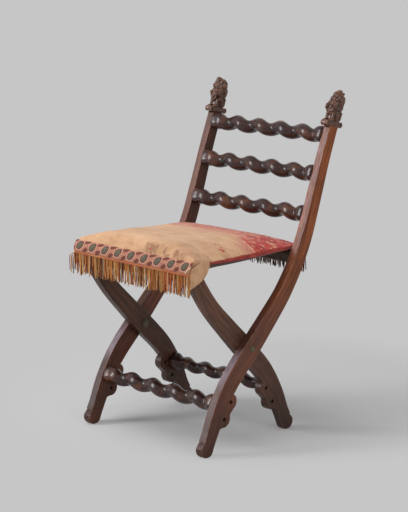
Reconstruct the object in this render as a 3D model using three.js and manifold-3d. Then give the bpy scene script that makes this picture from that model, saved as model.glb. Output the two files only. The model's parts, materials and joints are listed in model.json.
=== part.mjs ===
import * as THREE from "three";
import { mergeVertices } from "three/addons/utils/BufferGeometryUtils.js";
import Module from "manifold-3d";

// Folding church chair: two X-shaped side frames of S-curved boards, barley-twist rails,
// a padded velvet seat slung between two rails, and a seated lion on each back post.
// Millimetres. X runs across the chair, -Y is the front, Z is up.

// Chair
const chairWidth = 420;
const boardThickness = 21;
const sideClearance = 1.5;
const seatGap = 0.3;

// Side boards: a long back post that ends in the front foot, and a short leg that mirrors its lower half
const pivotHeight = 239;
const footReach = 155;
const footRadius = 20.5;
const footWear = 0.8;
const toeNotchHeight = 37;
const toeNotchDepth = 4;
const postHeight = 754;
const postReach = 293;
const boardWidth = 52;
// height share between foot and pivot, reach share of the foot, width share of the board
const lowerBoardShares = [
  [0.22, 0.89, 0.71],
  [0.44, 0.73, 0.82],
  [0.7, 0.46, 0.93],
  [1, 0, 1],
];
// height share between pivot and post top, reach share of the post, width share of the board
const upperBoardShares = [
  [0.107, 0.19, 0.92],
  [0.229, 0.395, 0.82],
  [0.351, 0.546, 0.775],
  [0.474, 0.66, 0.745],
  [0.637, 0.768, 0.68],
  [0.841, 0.893, 0.6],
  [1, 1, 0.58],
];
// share of the post's lean that the cut under the plinth keeps
const topCutShare = 0.68;
const boardSteps = 22;
const shortLegSteps = 14;

// Two-lobed bracket on the inner curve of each lower leg, with a drilled hole in each lobe
const upperLobe = { reach: 75, height: 122 };
const lowerLobe = { reach: 98, height: 83 };
const lobeRadius = 20.5;
const lobeHoleRadius = 4;
const bracketBottom = 61;
const bracketTop = 141;
const lobeNotch = { reach: 77.5, height: 91.5 };
const lobeSteps = 6;

// Pivots
const pinRadius = 4.5;
const pinHeadRadius = 8.3;
const pinHeadHeight = 3.4;
const peenRadius = 7.6;
const peenHeight = 3.6;
const washerRadius = 10.8;
const washerThickness = 2;

// Barley-twist rails
const backTwist = { radius: 16.7, throw: 5, pitch: 74.5 };
const rearTwist = { radius: 14.6, throw: 4.4, pitch: 65 };
// turn of the twist at the left end, in degrees
const twistStarts = {
  back_rail_bottom: 56,
  back_rail_middle: 66,
  back_rail_top: 81,
  front_stretcher: 58,
  rear_stretcher: 133,
};
const railBlock = 42;
const railBlockLength = 12;
const railBlend = 27;
const railSides = 12;
const ringsPerTurn = 8;
const tenonLength = 13;
const tenonHeight = 27;
const tenonDepth = 10;
const backRailHeights = { back_rail_bottom: 541, back_rail_middle: 638.5, back_rail_top: 732 };
const frontStretcherHeight = 120;
const rearStretcherHeight = 119.5;

// Seat rails, hidden under the cloth
const seatRailTop = 457;
const seatRailHeight = 32;
const seatRailDepth = 30;
const seatRailCorner = 6;
const seatTenonHeight = 16;
const seatTenonDepth = 10;
const legTopDrop = 21.5;
const shortLegTop = seatRailTop - legTopDrop;

// Padded seat: the padding turns down over a round at the front and at the rear
const seatFrontInset = 8;
const seatRearInset = 23;
const seatFrontWidth = chairWidth - 2 * seatFrontInset;
const seatRearWidth = chairWidth - 2 * seatRearInset;
const seatPadding = 17;
const seatEdgeHeight = seatRailTop + seatPadding;
const frontOverhang = 10;
const rearOverhang = 14;
const frontRoundRise = 4;
const rearRoundDrop = 3;
const frontRoundRadius = 23;
const rearRoundRadius = 22;
const canvasThickness = 1.6;
const canvasSag = 5;
const crownHeight = 42;
// depth share from front to rear, crown share
const crownShares = [
  [0, 0.5],
  [0.06, 0.8],
  [0.13, 0.8],
  [0.3, 0.77],
  [0.52, 0.62],
  [0.76, 0.55],
  [1, 0],
];
const crownFullness = 4.6;
const rearCornerDroop = 8;
const crownStartAngle = (76 * Math.PI) / 180;
const seatAcross = 14;
const seatAlong = 16;
const rollSteps = 6;
const rollWrap = (98 * Math.PI) / 180;
const hemDrop = 2;
const seatHem = seatRailTop - hemDrop;

// Velvet corners that hang over the ends of the front rail: shares of their length and height
const cornerThickness = 2.4;
const cornerSetback = 5;
const cornerLength = 56;
const cornerHeight = 50;
const cornerTip = 37;
const cornerShares = [
  [0, 0],
  [0.07, 0.12],
  [0.13, 0.22],
  [0.38, 0.36],
  [0.6, 0.47],
  [0.86, 0.66],
  [1, 1],
  [0, 1],
];

// Border band and fringes
const bandThickness = 1.4;
const bandTopAngle = (68 * Math.PI) / 180;
const fringeHeading = 5;
const fringeThickness = 4;
const strandLength = 56;
const strandPitch = 8.2;
const strandTop = 5.4;
const strandTip = 3.2;
const strandRaggedness = 3;

// Seated lions, sizes along their own axes from the middle of the plinth's top
const plinthLength = 50;
const plinthWidth = 23;
const plinthThickness = 12;
const plinthRoll = 7.4;
const plinthRollWidth = 22;
const lionHeight = 80;
const lionWidth = 38;
const lionDepth = 44;
const lionHeadTurn = Math.PI / 4;
const dowelRadius = 5;
const dowelLength = 7;

const wasm = await Module();
wasm.setup();

// Solids from geometry, and back

function bare(geometry) {
  const g = geometry.clone();
  for (const name of Object.keys(g.attributes)) {
    if (name !== "position") g.deleteAttribute(name);
  }
  return mergeVertices(g, 1e-4);
}

function solid(geometry) {
  const g = bare(geometry);
  return new wasm.Manifold(
    new wasm.Mesh({
      numProp: 3,
      vertProperties: new Float32Array(g.attributes.position.array),
      triVerts: new Uint32Array(g.index.array),
    }),
  );
}

function geometryOf(made) {
  const m = made.getMesh();
  const g = new THREE.BufferGeometry();
  g.setAttribute("position", new THREE.BufferAttribute(m.vertProperties, 3));
  g.setIndex(new THREE.BufferAttribute(m.triVerts, 1));
  g.computeVertexNormals();
  return g;
}

// Closed skin through rings of points set out along X, flat at both ends
function loft(rings) {
  const sides = rings[0].length;
  const points = rings.flat();
  const faces = [];
  for (let r = 0; r + 1 < rings.length; r++) {
    for (let i = 0; i < sides; i++) {
      const a = r * sides + i;
      const b = r * sides + ((i + 1) % sides);
      faces.push(a, b, b + sides, a, b + sides, a + sides);
    }
  }
  for (const [ring, start, last] of [
    [rings[0], 0, false],
    [rings[rings.length - 1], (rings.length - 1) * sides, true],
  ]) {
    const flat = ring.map((p) => new THREE.Vector2(p.y, p.z));
    for (const corners of THREE.ShapeUtils.triangulateShape(flat, [])) {
      const [a, b, c] = corners.map((i) => start + i);
      if (last) faces.push(a, b, c);
      else faces.push(c, b, a);
    }
  }
  const g = new THREE.BufferGeometry().setFromPoints(points);
  g.setIndex(faces);
  g.computeVertexNormals();
  return g;
}

// A side outline drawn in depth and height, extruded across the chair from x = from
const sideways = new THREE.Matrix4().makeBasis(
  new THREE.Vector3(0, 1, 0),
  new THREE.Vector3(0, 0, 1),
  new THREE.Vector3(1, 0, 0),
);

function acrossFrom(shape, from, width) {
  const g = new THREE.ExtrudeGeometry(shape, {
    depth: width,
    bevelEnabled: false,
    curveSegments: 8,
  });
  return g.applyMatrix4(sideways).translate(from, 0, 0);
}

function box(width, depth, height, x, y, z, lean = 0) {
  return new THREE.BoxGeometry(width, depth, height).rotateX(-lean).translate(x, y, z);
}

// Course of the S-curved board: point.x is depth, point.y is height, point.z is the width there

const boardCurve = new THREE.CatmullRomCurve3(
  [
    ...lowerBoardShares.map(
      ([height, reach, width]) =>
        new THREE.Vector3(-reach * footReach, height * pivotHeight, width * boardWidth),
    ),
    ...upperBoardShares.map(
      ([height, reach, width]) =>
        new THREE.Vector3(
          reach * postReach,
          pivotHeight + height * (postHeight - pivotHeight),
          width * boardWidth,
        ),
    ),
  ],
  false,
  "centripetal",
);

// Place on the board's course at a height, with its lean from the plumb line
function boardAt(height) {
  let low = 0;
  let high = 1;
  for (let i = 0; i < 40; i++) {
    const mid = (low + high) / 2;
    if (boardCurve.getPoint(mid).y < height) low = mid;
    else high = mid;
  }
  const p = boardCurve.getPoint(low);
  const slope = boardCurve.getTangent(low);
  return { t: low, depth: p.x, height: p.y, width: p.z, lean: Math.atan2(slope.x, slope.y) };
}

// The seat rails stand on the boards' course at their own height
const seatRailReach = boardAt(seatRailTop - seatRailHeight / 2).depth;
const frontRound = {
  reach: seatRailReach + frontOverhang,
  height: seatRailTop + frontRoundRise,
  radius: frontRoundRadius,
};
const rearRound = {
  reach: seatRailReach + rearOverhang,
  height: seatRailTop - rearRoundDrop,
  radius: rearRoundRadius,
};

function arcPoints(centre, radius, from, to, steps) {
  const points = [];
  for (let i = 0; i <= steps; i++) {
    const a = from + ((to - from) * i) / steps;
    points.push(
      new THREE.Vector2(centre.x + radius * Math.cos(a), centre.y + radius * Math.sin(a)),
    );
  }
  return points;
}

const degree = Math.PI / 180;

// Outline of a board from its foot up to the given place on the course, foot towards the front
function boardOutline(topT, steps, roundTop) {
  const front = [];
  const rear = [];
  const crest = [];
  for (let i = 0; i <= steps; i++) {
    const t = (topT * i) / steps;
    const p = boardCurve.getPoint(t);
    const slope = boardCurve.getTangent(t);
    const along = new THREE.Vector2(slope.x, slope.y).normalize();
    if (!roundTop && i === steps) {
      const cut = Math.atan2(along.x, along.y) * topCutShare;
      along.set(Math.sin(cut), Math.cos(cut));
    }
    front.push(new THREE.Vector2(p.x - (along.y * p.z) / 2, p.y + (along.x * p.z) / 2));
    rear.push(new THREE.Vector2(p.x + (along.y * p.z) / 2, p.y - (along.x * p.z) / 2));
    if (roundTop && i === steps) {
      const lean = Math.atan2(along.x, along.y);
      const turn = [-lean, Math.PI - lean];
      crest.push(...arcPoints(new THREE.Vector2(p.x, p.y), p.z / 2, ...turn, 6).slice(1, -1));
    }
  }
  const foot = new THREE.Vector2(-footReach, footRadius - footWear);
  const worn = Math.acos(foot.y / footRadius);
  const heel = arcPoints(foot, footRadius, -Math.PI / 2 + worn, -8 * degree, 5);
  const toe = arcPoints(foot, footRadius, 165 * degree, 1.5 * Math.PI - worn, 6);
  const notch = new THREE.Vector2(
    -footReach - footRadius + 2 * toeNotchDepth,
    toeNotchHeight - toeNotchDepth,
  );
  const notchDeep = new THREE.Vector2(
    -footReach - footRadius + 3 * toeNotchDepth,
    toeNotchHeight,
  );
  const lower = arcPoints(
    new THREE.Vector2(-lowerLobe.reach, lowerLobe.height),
    lobeRadius,
    -105 * degree,
    15 * degree,
    lobeSteps,
  );
  const upper = arcPoints(
    new THREE.Vector2(-upperLobe.reach, upperLobe.height),
    lobeRadius,
    -55 * degree,
    62 * degree,
    lobeSteps,
  );
  const between = new THREE.Vector2(-lobeNotch.reach, lobeNotch.height);
  const edgeAt = (height) => {
    const i = rear.findIndex((p) => p.y > height);
    const a = rear[i - 1];
    const b = rear[i];
    return a.clone().lerp(b, (height - a.y) / (b.y - a.y));
  };
  const bracket = [
    edgeAt(bracketBottom),
    ...lower,
    between,
    ...upper,
    edgeAt(bracketTop),
  ];
  return [
    ...toe,
    ...heel,
    ...rear.filter((p) => p.y > footRadius + toeNotchDepth && p.y < bracketBottom),
    ...bracket,
    ...rear.filter((p) => p.y > bracketTop),
    ...crest,
    ...front.filter((p) => p.y > toeNotchHeight + toeNotchDepth).reverse(),
    notchDeep,
    notch,
  ];
}

function circleHole(x, y, radius, sides) {
  const hole = new THREE.Path();
  hole.setFromPoints(
    arcPoints(new THREE.Vector2(x, y), radius, 0, 2 * Math.PI * (1 - 1 / sides), sides - 1),
  );
  return hole;
}

// mirror = -1 turns the foot to the front, 1 to the rear
function board(topT, steps, mirror, from, mortises) {
  const outline = boardOutline(topT, steps, mirror > 0).map((p) => new THREE.Vector2(-mirror * p.x, p.y));
  if (mirror > 0) outline.reverse();
  const shape = new THREE.Shape(outline);
  for (const lobe of [upperLobe, lowerLobe]) {
    shape.holes.push(circleHole(mirror * lobe.reach, lobe.height, lobeHoleRadius, 10));
  }
  shape.holes.push(circleHole(0, pivotHeight, pinRadius + seatGap, 24));
  let made = solid(acrossFrom(shape, from, boardThickness));
  for (const cutter of mortises) made = made.subtract(solid(cutter));
  return geometryOf(made);
}

// Rails

// Barley-twist rail between two inner faces, along X about its own middle
function twistRail(span, twist, start) {
  const half = span / 2 - seatGap;
  const rings = [];
  const square = (x, height, depth) =>
    Array.from({ length: railSides }, (_, i) => {
      const a = ((i + 0.5) / railSides) * 2 * Math.PI;
      const reach = Math.max(Math.abs(Math.cos(a)), Math.abs(Math.sin(a)));
      return new THREE.Vector3(
        x,
        ((Math.cos(a) / reach) * depth) / 2,
        ((Math.sin(a) / reach) * height) / 2,
      );
    });
  const twisted = (x) => {
    const angle = start * degree + ((x + span / 2) / twist.pitch) * 2 * Math.PI;
    const fromEnd = half - Math.abs(x);
    const ease = THREE.MathUtils.smoothstep(fromEnd, railBlockLength, railBlockLength + railBlend);
    const strand = new THREE.Vector3(
      x,
      twist.throw * Math.cos(angle),
      twist.throw * Math.sin(angle),
    );
    const swing = (2 * Math.PI) / twist.pitch;
    const course = new THREE.Vector3(1, -swing * strand.z, swing * strand.y).normalize();
    const block = square(x, railBlock, railBlock);
    return block.map((corner, i) => {
      const a = ((i + 0.5) / railSides) * 2 * Math.PI;
      const round = new THREE.Vector3(0, Math.cos(a), Math.sin(a));
      round.addScaledVector(course, -round.dot(course)).normalize().multiplyScalar(twist.radius);
      round.add(strand);
      const blunt = new THREE.Vector3(
        x,
        (railBlock / 2) * Math.cos(a),
        (railBlock / 2) * Math.sin(a),
      );
      return corner.lerp(blunt, 0.6).lerp(round, ease);
    });
  };
  const count = Math.round((span / twist.pitch) * ringsPerTurn);
  rings.push(square(-half - tenonLength, tenonHeight, tenonDepth));
  rings.push(square(-half, tenonHeight, tenonDepth));
  for (let i = 0; i <= count; i++) rings.push(twisted(-half + (2 * half * i) / count));
  rings.push(square(half, tenonHeight, tenonDepth));
  rings.push(square(half + tenonLength, tenonHeight, tenonDepth));
  return loft(rings);
}

function tenonSocket(x, place, height, depth) {
  return box(
    2 * (tenonLength + 2 * seatGap),
    depth + 2 * seatGap,
    height + 2 * seatGap,
    x,
    place.depth,
    place.height,
    place.lean,
  );
}

// Section of a seat rail: round on top, where the cloth turns over it
function seatRailSection() {
  const s = new THREE.Shape();
  const x = seatRailDepth / 2;
  const low = -seatRailHeight / 2;
  const centre = seatRailHeight / 2 - x;
  const corner = seatRailCorner;
  s.moveTo(-x + corner, low);
  s.lineTo(x - corner, low);
  s.absarc(x - corner, low + corner, corner, -Math.PI / 2, 0);
  s.lineTo(x, centre);
  s.absarc(0, centre, x, 0, Math.PI);
  s.lineTo(-x, low + corner);
  s.absarc(-x + corner, low + corner, corner, Math.PI, 1.5 * Math.PI);
  return s;
}

function seatRail(span) {
  const length = span - 2 * seatGap;
  const bar = acrossFrom(seatRailSection(), -length / 2, length);
  const tenon = box(length + 2 * tenonLength, seatTenonDepth, seatTenonHeight, 0, 0, 0);
  return geometryOf(solid(bar).add(solid(tenon)));
}

// Pivot pin: domed head outside the post, shank through both boards, peened end over a washer
function pivotPin(grip) {
  const shank = grip + washerThickness + 3 * seatGap;
  const profile = [new THREE.Vector2(0, -pinHeadHeight)];
  for (const a of [30, 60, 90]) {
    profile.push(
      new THREE.Vector2(
        pinHeadRadius * Math.sin(a * degree),
        -pinHeadHeight * Math.cos(a * degree),
      ),
    );
  }
  profile.push(new THREE.Vector2(pinRadius, 0), new THREE.Vector2(pinRadius, shank));
  for (const a of [90, 55, 25]) {
    profile.push(
      new THREE.Vector2(
        peenRadius * Math.sin(a * degree),
        shank + peenHeight * Math.cos(a * degree),
      ),
    );
  }
  profile.push(new THREE.Vector2(0, shank + peenHeight));
  return new THREE.LatheGeometry(profile, 16).rotateZ(Math.PI / 2);
}

function washer() {
  const hole = pinRadius + seatGap;
  const profile = [
    new THREE.Vector2(hole, 0),
    new THREE.Vector2(washerRadius, 0),
    new THREE.Vector2(washerRadius, washerThickness),
    new THREE.Vector2(hole, washerThickness),
    new THREE.Vector2(hole, 0),
  ];
  return new THREE.LatheGeometry(profile, 16).rotateZ(Math.PI / 2);
}

// Seat

const rollRadius = seatRailDepth / 2;
const coverGap = canvasThickness + 2 * seatGap;
const rollHeight = seatRailTop - rollRadius;

function shareAt(table, s) {
  const i = Math.max(1, table.findIndex(([at]) => at >= s));
  const [a, va] = table[i - 1];
  const [b, vb] = table[i];
  return va + (vb - va) * THREE.MathUtils.smoothstep(s, a, b);
}

const depthAt = (s) => (2 * s - 1) * seatRailReach;

// Quarter round over a seat rail at a distance from its face, side = -1 at the front rail
function rollPoints(side, distance, from, to) {
  return arcPoints(new THREE.Vector2(0, 0), rollRadius + distance, from, to, rollSteps).map(
    (p) => new THREE.Vector2(side * (seatRailReach + p.x), rollHeight + p.y),
  );
}

// Line of the sling at a distance outside the rails, front to rear, sagging between them
function slingLine(distance, from) {
  const sagging = [0.12, 0.3, 0.5, 0.7, 0.88].map((s) => {
    const sag = canvasSag * (1 - (2 * s - 1) ** 2);
    return new THREE.Vector2(depthAt(s), seatRailTop + distance - sag);
  });
  return [
    ...rollPoints(-1, distance, from, rollWrap),
    ...sagging,
    ...rollPoints(1, distance, rollWrap, from),
  ];
}

// Points of the padding's front or rear round, from its hem up to its top
function roundPoints(side, round, distance, from, to) {
  return arcPoints(new THREE.Vector2(0, 0), round.radius + distance, from, to, rollSteps).map(
    (p) => new THREE.Vector2(side * (round.reach + p.x), round.height + p.y),
  );
}

// Side section of the padded seat at a share of its half width: rounds, crown, and underside
function seatSection(across) {
  const fullness = 1 - Math.abs(across) ** crownFullness;
  const cornerDroop = rearCornerDroop * THREE.MathUtils.smoothstep(Math.abs(across), 0.4, 1);
  const raised = (points, round, rise) =>
    points.map((p) => {
      const start = Math.sin(crownStartAngle);
      const turn = Math.max(0, ((p.y - round.height) / round.radius - start) / (1 - start));
      return new THREE.Vector2(p.x, p.y + rise * turn);
    });
  const quarter = Math.PI / 2;
  const low = (round) => Math.asin((seatHem - round.height) / round.radius);
  const front = roundPoints(-1, frontRound, 0, low(frontRound), quarter);
  const rear = roundPoints(1, rearRound, 0, quarter, low(rearRound));
  const crown = [];
  for (let i = 1; i < seatAlong; i++) {
    const s = i / seatAlong;
    const round = s < 0.5 ? frontRound : rearRound;
    const level = (round.height + round.radius - seatEdgeHeight) * (2 * s - 1) ** 4;
    const rise = crownHeight * shareAt(crownShares, s) * fullness;
    const droop = cornerDroop * THREE.MathUtils.smoothstep(s, 0.62, 1);
    const depth = (rearRound.reach + frontRound.reach) * s - frontRound.reach;
    crown.push(new THREE.Vector2(depth, seatEdgeHeight + level + rise - droop));
  }
  const under = Math.asin((seatHem - rollHeight) / (rollRadius + coverGap));
  const outline = [
    ...raised(front, frontRound, crownHeight * crownShares[0][1] * fullness),
    ...crown,
    ...raised(rear, rearRound, -cornerDroop),
    ...slingLine(coverGap, under).reverse(),
  ];
  return outline.reverse().map((p) => {
    const s = THREE.MathUtils.clamp((p.x / seatRailReach + 1) / 2, 0, 1);
    const width = seatFrontWidth + (seatRearWidth - seatFrontWidth) * s;
    return new THREE.Vector3((across * width) / 2, p.x, p.y);
  });
}

function velvetSeat() {
  const rings = [];
  for (let i = 0; i <= seatAcross; i++) {
    rings.push(seatSection(Math.sin(((2 * i) / seatAcross - 1) * (Math.PI / 2))));
  }
  const front = -frontRound.reach - frontRound.radius + cornerSetback;
  const tip = seatHem - cornerTip;
  const corner = new THREE.Shape(
    cornerShares.map(([along, up]) => new THREE.Vector2(front + along * cornerLength, tip + up * cornerHeight)),
  );
  let made = solid(loft(rings));
  for (const from of [-seatFrontWidth / 2, seatFrontWidth / 2 - cornerThickness]) {
    made = made.add(solid(acrossFrom(corner, from, cornerThickness)));
  }
  return geometryOf(made);
}

// Canvas sling from rail to rail under the padding
function seatCanvas(width) {
  const outline = [
    ...slingLine(seatGap + canvasThickness, 0),
    ...slingLine(seatGap, 0).reverse(),
  ];
  return acrossFrom(new THREE.Shape(outline.reverse()), -width / 2, width);
}

// Embroidered band around the front of the seat, above the fringe
function borderBand(width) {
  const outer = seatGap + bandThickness;
  const low = (distance) => Math.asin((seatHem - frontRound.height) / (frontRound.radius + distance));
  const outline = [
    ...roundPoints(-1, frontRound, outer, low(outer), bandTopAngle),
    ...roundPoints(-1, frontRound, seatGap, bandTopAngle, low(seatGap)),
  ];
  return acrossFrom(new THREE.Shape(outline.reverse()), -width / 2, width);
}

// Fringe: a heading with a comb of hanging strands, ends at uneven heights
function fringe(width, reach, side) {
  const strands = Math.floor((width - strandTop) / strandPitch);
  const start = (-strands * strandPitch) / 2;
  const top = seatHem - seatGap;
  const shoulder = top - fringeHeading;
  const outline = [new THREE.Vector2(start - strandTop / 2, top)];
  for (let i = 0; i <= strands; i++) {
    const x = start + i * strandPitch;
    const uneven = strandRaggedness * Math.sin(2.4 * i) * Math.cos(0.9 * i);
    const tip = shoulder - strandLength + fringeHeading + uneven;
    const sway = (strandPitch - strandTop) * 0.5 * Math.sin(1.7 * i);
    outline.push(new THREE.Vector2(x - strandTop / 2, i ? shoulder : top - fringeHeading / 2));
    outline.push(new THREE.Vector2(x - strandTip / 2 + sway, tip));
    outline.push(new THREE.Vector2(x + strandTip / 2 + sway, tip));
    outline.push(
      new THREE.Vector2(x + strandTop / 2, i < strands ? shoulder : top - fringeHeading / 2),
    );
  }
  outline.push(new THREE.Vector2(-start + strandTop / 2, top));
  const comb = new THREE.ExtrudeGeometry(new THREE.Shape(outline.reverse()), {
    depth: fringeThickness,
    bevelEnabled: false,
  });
  const face = side * reach + ((1 - side) * fringeThickness) / 2;
  return comb.rotateX(Math.PI / 2).translate(0, face, 0);
}

// Lions

// Unit balls placed by shares of the lion's width, depth and height
function ball(x, y, z, rx, ry, rz, turn = 0, tilt = 0) {
  return new THREE.SphereGeometry(1, rz > 0.12 ? 9 : 7, rz > 0.12 ? 6 : 4)
    .rotateX(Math.PI / 2)
    .scale(rx * lionWidth, ry * lionDepth, rz * lionHeight)
    .rotateX(tilt)
    .rotateZ(turn)
    .translate(x * lionWidth, y * lionDepth, z * lionHeight);
}

// side = 1 turns the head towards +X, -1 is its mirror image
function lionFinial(side) {
  const turn = lionHeadTurn;
  const ahead = (share, aside = 0) => [
    (Math.sin(turn) * share * lionDepth) / lionWidth + Math.cos(turn) * aside,
    -Math.cos(turn) * share + (Math.sin(turn) * aside * lionWidth) / lionDepth,
  ];
  const parts = [];
  const add = (...values) => parts.push(solid(ball(...values)));
  // body, neck and mane
  add(0, 0.14, 0.34, 0.36, 0.35, 0.36);
  add(0, -0.08, 0.52, 0.38, 0.3, 0.2);
  add(0, 0.16, 0.58, 0.42, 0.36, 0.3);
  add(0, 0.02, 0.75, 0.46, 0.42, 0.25);
  for (const s of [-1, 1]) {
    // haunch, hind paw, shoulder, foreleg and forepaw
    add(s * 0.26, 0.24, 0.2, 0.22, 0.32, 0.2);
    add(s * 0.3, -0.06, 0.06, 0.15, 0.26, 0.07);
    add(s * 0.3, -0.16, 0.42, 0.15, 0.17, 0.17, 0, s * 0.2);
    add(s * 0.24, -0.4, 0.22, 0.12, 0.13, 0.24);
    add(s * 0.23, -0.47, 0.06, 0.13, 0.17, 0.07);
    // ear and cheek
    const [ex, ey] = ahead(0.06, s * 0.27);
    add(ex, ey, 0.87, 0.1, 0.08, 0.06);
    const [cx, cy] = ahead(0.26, s * 0.16);
    add(cx, cy, 0.7, 0.14, 0.12, 0.07);
  }
  // shield held before the chest
  add(0, -0.45, 0.42, 0.33, 0.09, 0.18);
  // skull, muzzle, chin and forelock
  const [hx, hy] = ahead(0.18);
  add(hx, hy, 0.79, 0.3, 0.26, 0.14, turn);
  const [mx, my] = ahead(0.45);
  add(mx, my, 0.745, 0.16, 0.17, 0.07, turn);
  const [jx, jy] = ahead(0.34);
  add(jx, jy, 0.67, 0.12, 0.14, 0.045, turn);
  const [fx, fy] = ahead(0.12);
  add(fx, fy, 0.92, 0.24, 0.22, 0.08, turn);
  // tail laid up the back
  add(0.1, 0.5, 0.3, 0.1, 0.1, 0.26);
  // plinth with a rolled end at front and rear, and the dowel into the post
  const plinth = solid(
    box(plinthWidth, plinthLength, plinthThickness, 0, 0, -plinthThickness / 2),
  );
  parts.push(plinth);
  for (const end of [-1, 1]) {
    parts.push(
      solid(
        new THREE.CylinderGeometry(plinthRoll, plinthRoll, plinthRollWidth, 14)
          .rotateZ(Math.PI / 2)
          .translate(0, (end * plinthLength) / 2, -plinthThickness / 2),
      ),
    );
  }
  parts.push(
    solid(
      new THREE.CylinderGeometry(dowelRadius, dowelRadius, dowelLength, 14)
        .rotateX(Math.PI / 2)
        .translate(0, 0, -plinthThickness - dowelLength / 2 + seatGap),
    ),
  );
  const whole = parts.reduce((a, b) => a.add(b));
  return geometryOf(side > 0 ? whole : whole.mirror([1, 0, 0]));
}

// Assembly

const finish = {
  post: { color: 0x6a4330, roughness: 0.5, metalness: 0 },
  leg: { color: 0x4a2f25, roughness: 0.5, metalness: 0 },
  rail: { color: 0x35211d, roughness: 0.3, metalness: 0 },
  lion: { color: 0x5a402c, roughness: 0.4, metalness: 0 },
  hidden: { color: 0x3a251d, roughness: 0.7, metalness: 0 },
  iron: { color: 0x5d6056, roughness: 0.6, metalness: 0.8 },
  velvet: { color: 0xc8a184, roughness: 0.95, metalness: 0 },
  canvas: { color: 0x6d5a46, roughness: 1, metalness: 0 },
  band: { color: 0xb9766a, roughness: 0.95, metalness: 0 },
  fringe: { color: 0xb07a45, roughness: 0.95, metalness: 0 },
};

const chair = new THREE.Group();

function piece(name, geometry, look, parent = chair) {
  const mesh = new THREE.Mesh(geometry, new THREE.MeshStandardMaterial(finish[look]));
  mesh.name = name;
  parent.add(mesh);
  return mesh;
}

const postOuter = chairWidth / 2;
const postInner = postOuter - boardThickness;
const legOuter = postInner - sideClearance;
const legInner = legOuter - boardThickness;

// The post is cut nearer to level at the top, where the plinth sits
const postTop = boardAt(postHeight);
const plinthLean = postTop.lean * topCutShare;
const legTop = boardAt(shortLegTop);
const frontStretcherPlace = boardAt(frontStretcherHeight);
const rearStretcherPlace = boardAt(rearStretcherHeight);
rearStretcherPlace.depth *= -1;
rearStretcherPlace.lean *= -1;
const backRailPlaces = Object.entries(backRailHeights).map(([name, height]) => [
  name,
  boardAt(height),
]);
const rearSeatRailPlace = {
  depth: seatRailReach,
  height: seatRailTop - seatRailHeight / 2,
  lean: 0,
};
const frontSeatRailPlace = { ...rearSeatRailPlace, depth: -seatRailReach };

for (const [side, name] of [
  [-1, "left"],
  [1, "right"],
]) {
  const postSockets = [
    ...[...backRailPlaces.map(([, place]) => place), frontStretcherPlace].map((place) =>
      tenonSocket(side * postInner, place, tenonHeight, tenonDepth),
    ),
    tenonSocket(side * postInner, rearSeatRailPlace, seatTenonHeight, seatTenonDepth),
    new THREE.CylinderGeometry(
      dowelRadius + seatGap,
      dowelRadius + seatGap,
      2 * (dowelLength + seatGap),
      14,
    )
      .rotateX(Math.PI / 2 - plinthLean)
      .translate(side * (postOuter - boardThickness / 2), postTop.depth, postTop.height),
  ];
  const postFrom = side > 0 ? postInner : -postOuter;
  piece(`post_${name}`, board(1, boardSteps, -1, postFrom, postSockets), "post");

  const legSockets = [
    tenonSocket(side * legInner, frontSeatRailPlace, seatTenonHeight, seatTenonDepth),
    tenonSocket(side * legInner, rearStretcherPlace, tenonHeight, tenonDepth),
  ];
  const legFrom = side > 0 ? legInner : -legOuter;
  piece(`leg_${name}`, board(legTop.t, shortLegSteps, 1, legFrom, legSockets), "leg");

  const pin = piece(
    `pivot_pin_${name}`,
    pivotPin(2 * boardThickness + sideClearance + seatGap),
    "iron",
  );
  pin.position.set(side * (postOuter + seatGap), 0, pivotHeight);
  pin.rotation.z = side > 0 ? 0 : Math.PI;
  const ring = piece(`pivot_washer_${name}`, washer(), "iron");
  ring.position.set(side * (legInner - seatGap), 0, pivotHeight);
  ring.rotation.z = side > 0 ? 0 : Math.PI;

  const lion = piece(`lion_finial_${name}`, lionFinial(side), "lion");
  lion.rotation.x = -plinthLean;
  lion.position.set(
    side * (postOuter - boardThickness / 2),
    postTop.depth + (plinthThickness + seatGap) * Math.sin(plinthLean),
    postTop.height + (plinthThickness + seatGap) * Math.cos(plinthLean),
  );
}

for (const [name, place] of [...backRailPlaces, ["front_stretcher", frontStretcherPlace]]) {
  const rail = piece(name, twistRail(2 * postInner, backTwist, twistStarts[name]), "rail");
  rail.position.set(0, place.depth, place.height);
  rail.rotation.x = -place.lean;
}
const rearStretcher = piece(
  "rear_stretcher",
  twistRail(2 * legInner, rearTwist, twistStarts.rear_stretcher),
  "rail",
);
rearStretcher.position.set(0, rearStretcherPlace.depth, rearStretcherPlace.height);
rearStretcher.rotation.x = -rearStretcherPlace.lean;

for (const [name, place, span] of [
  ["rear_seat_rail", rearSeatRailPlace, 2 * postInner],
  ["front_seat_rail", frontSeatRailPlace, 2 * legInner],
]) {
  piece(name, seatRail(span), "hidden").position.set(0, place.depth, place.height);
}

const canvasWidth = 2 * legInner - 2 * sideClearance;
piece("seat_canvas", seatCanvas(canvasWidth), "canvas");
piece("velvet_seat", velvetSeat(), "velvet");
piece("front_border", borderBand(seatFrontWidth), "band");
piece("front_fringe", fringe(seatFrontWidth, frontRound.reach + frontRound.radius, -1), "fringe");
piece("rear_fringe", fringe(seatFrontWidth, rearRound.reach + rearRound.radius - seatGap, 1), "fringe");

// Origin on the floor, under the middle of the chair
const bounds = new THREE.Box3().setFromObject(chair, true);
chair.position.y = -(bounds.min.y + bounds.max.y) / 2;

const part = new THREE.Group();
part.add(chair);

export default part;
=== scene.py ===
import json
import math

import bpy
import numpy as np
from mathutils import Euler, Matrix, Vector
from mathutils.geometry import delaunay_2d_cdt


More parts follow.
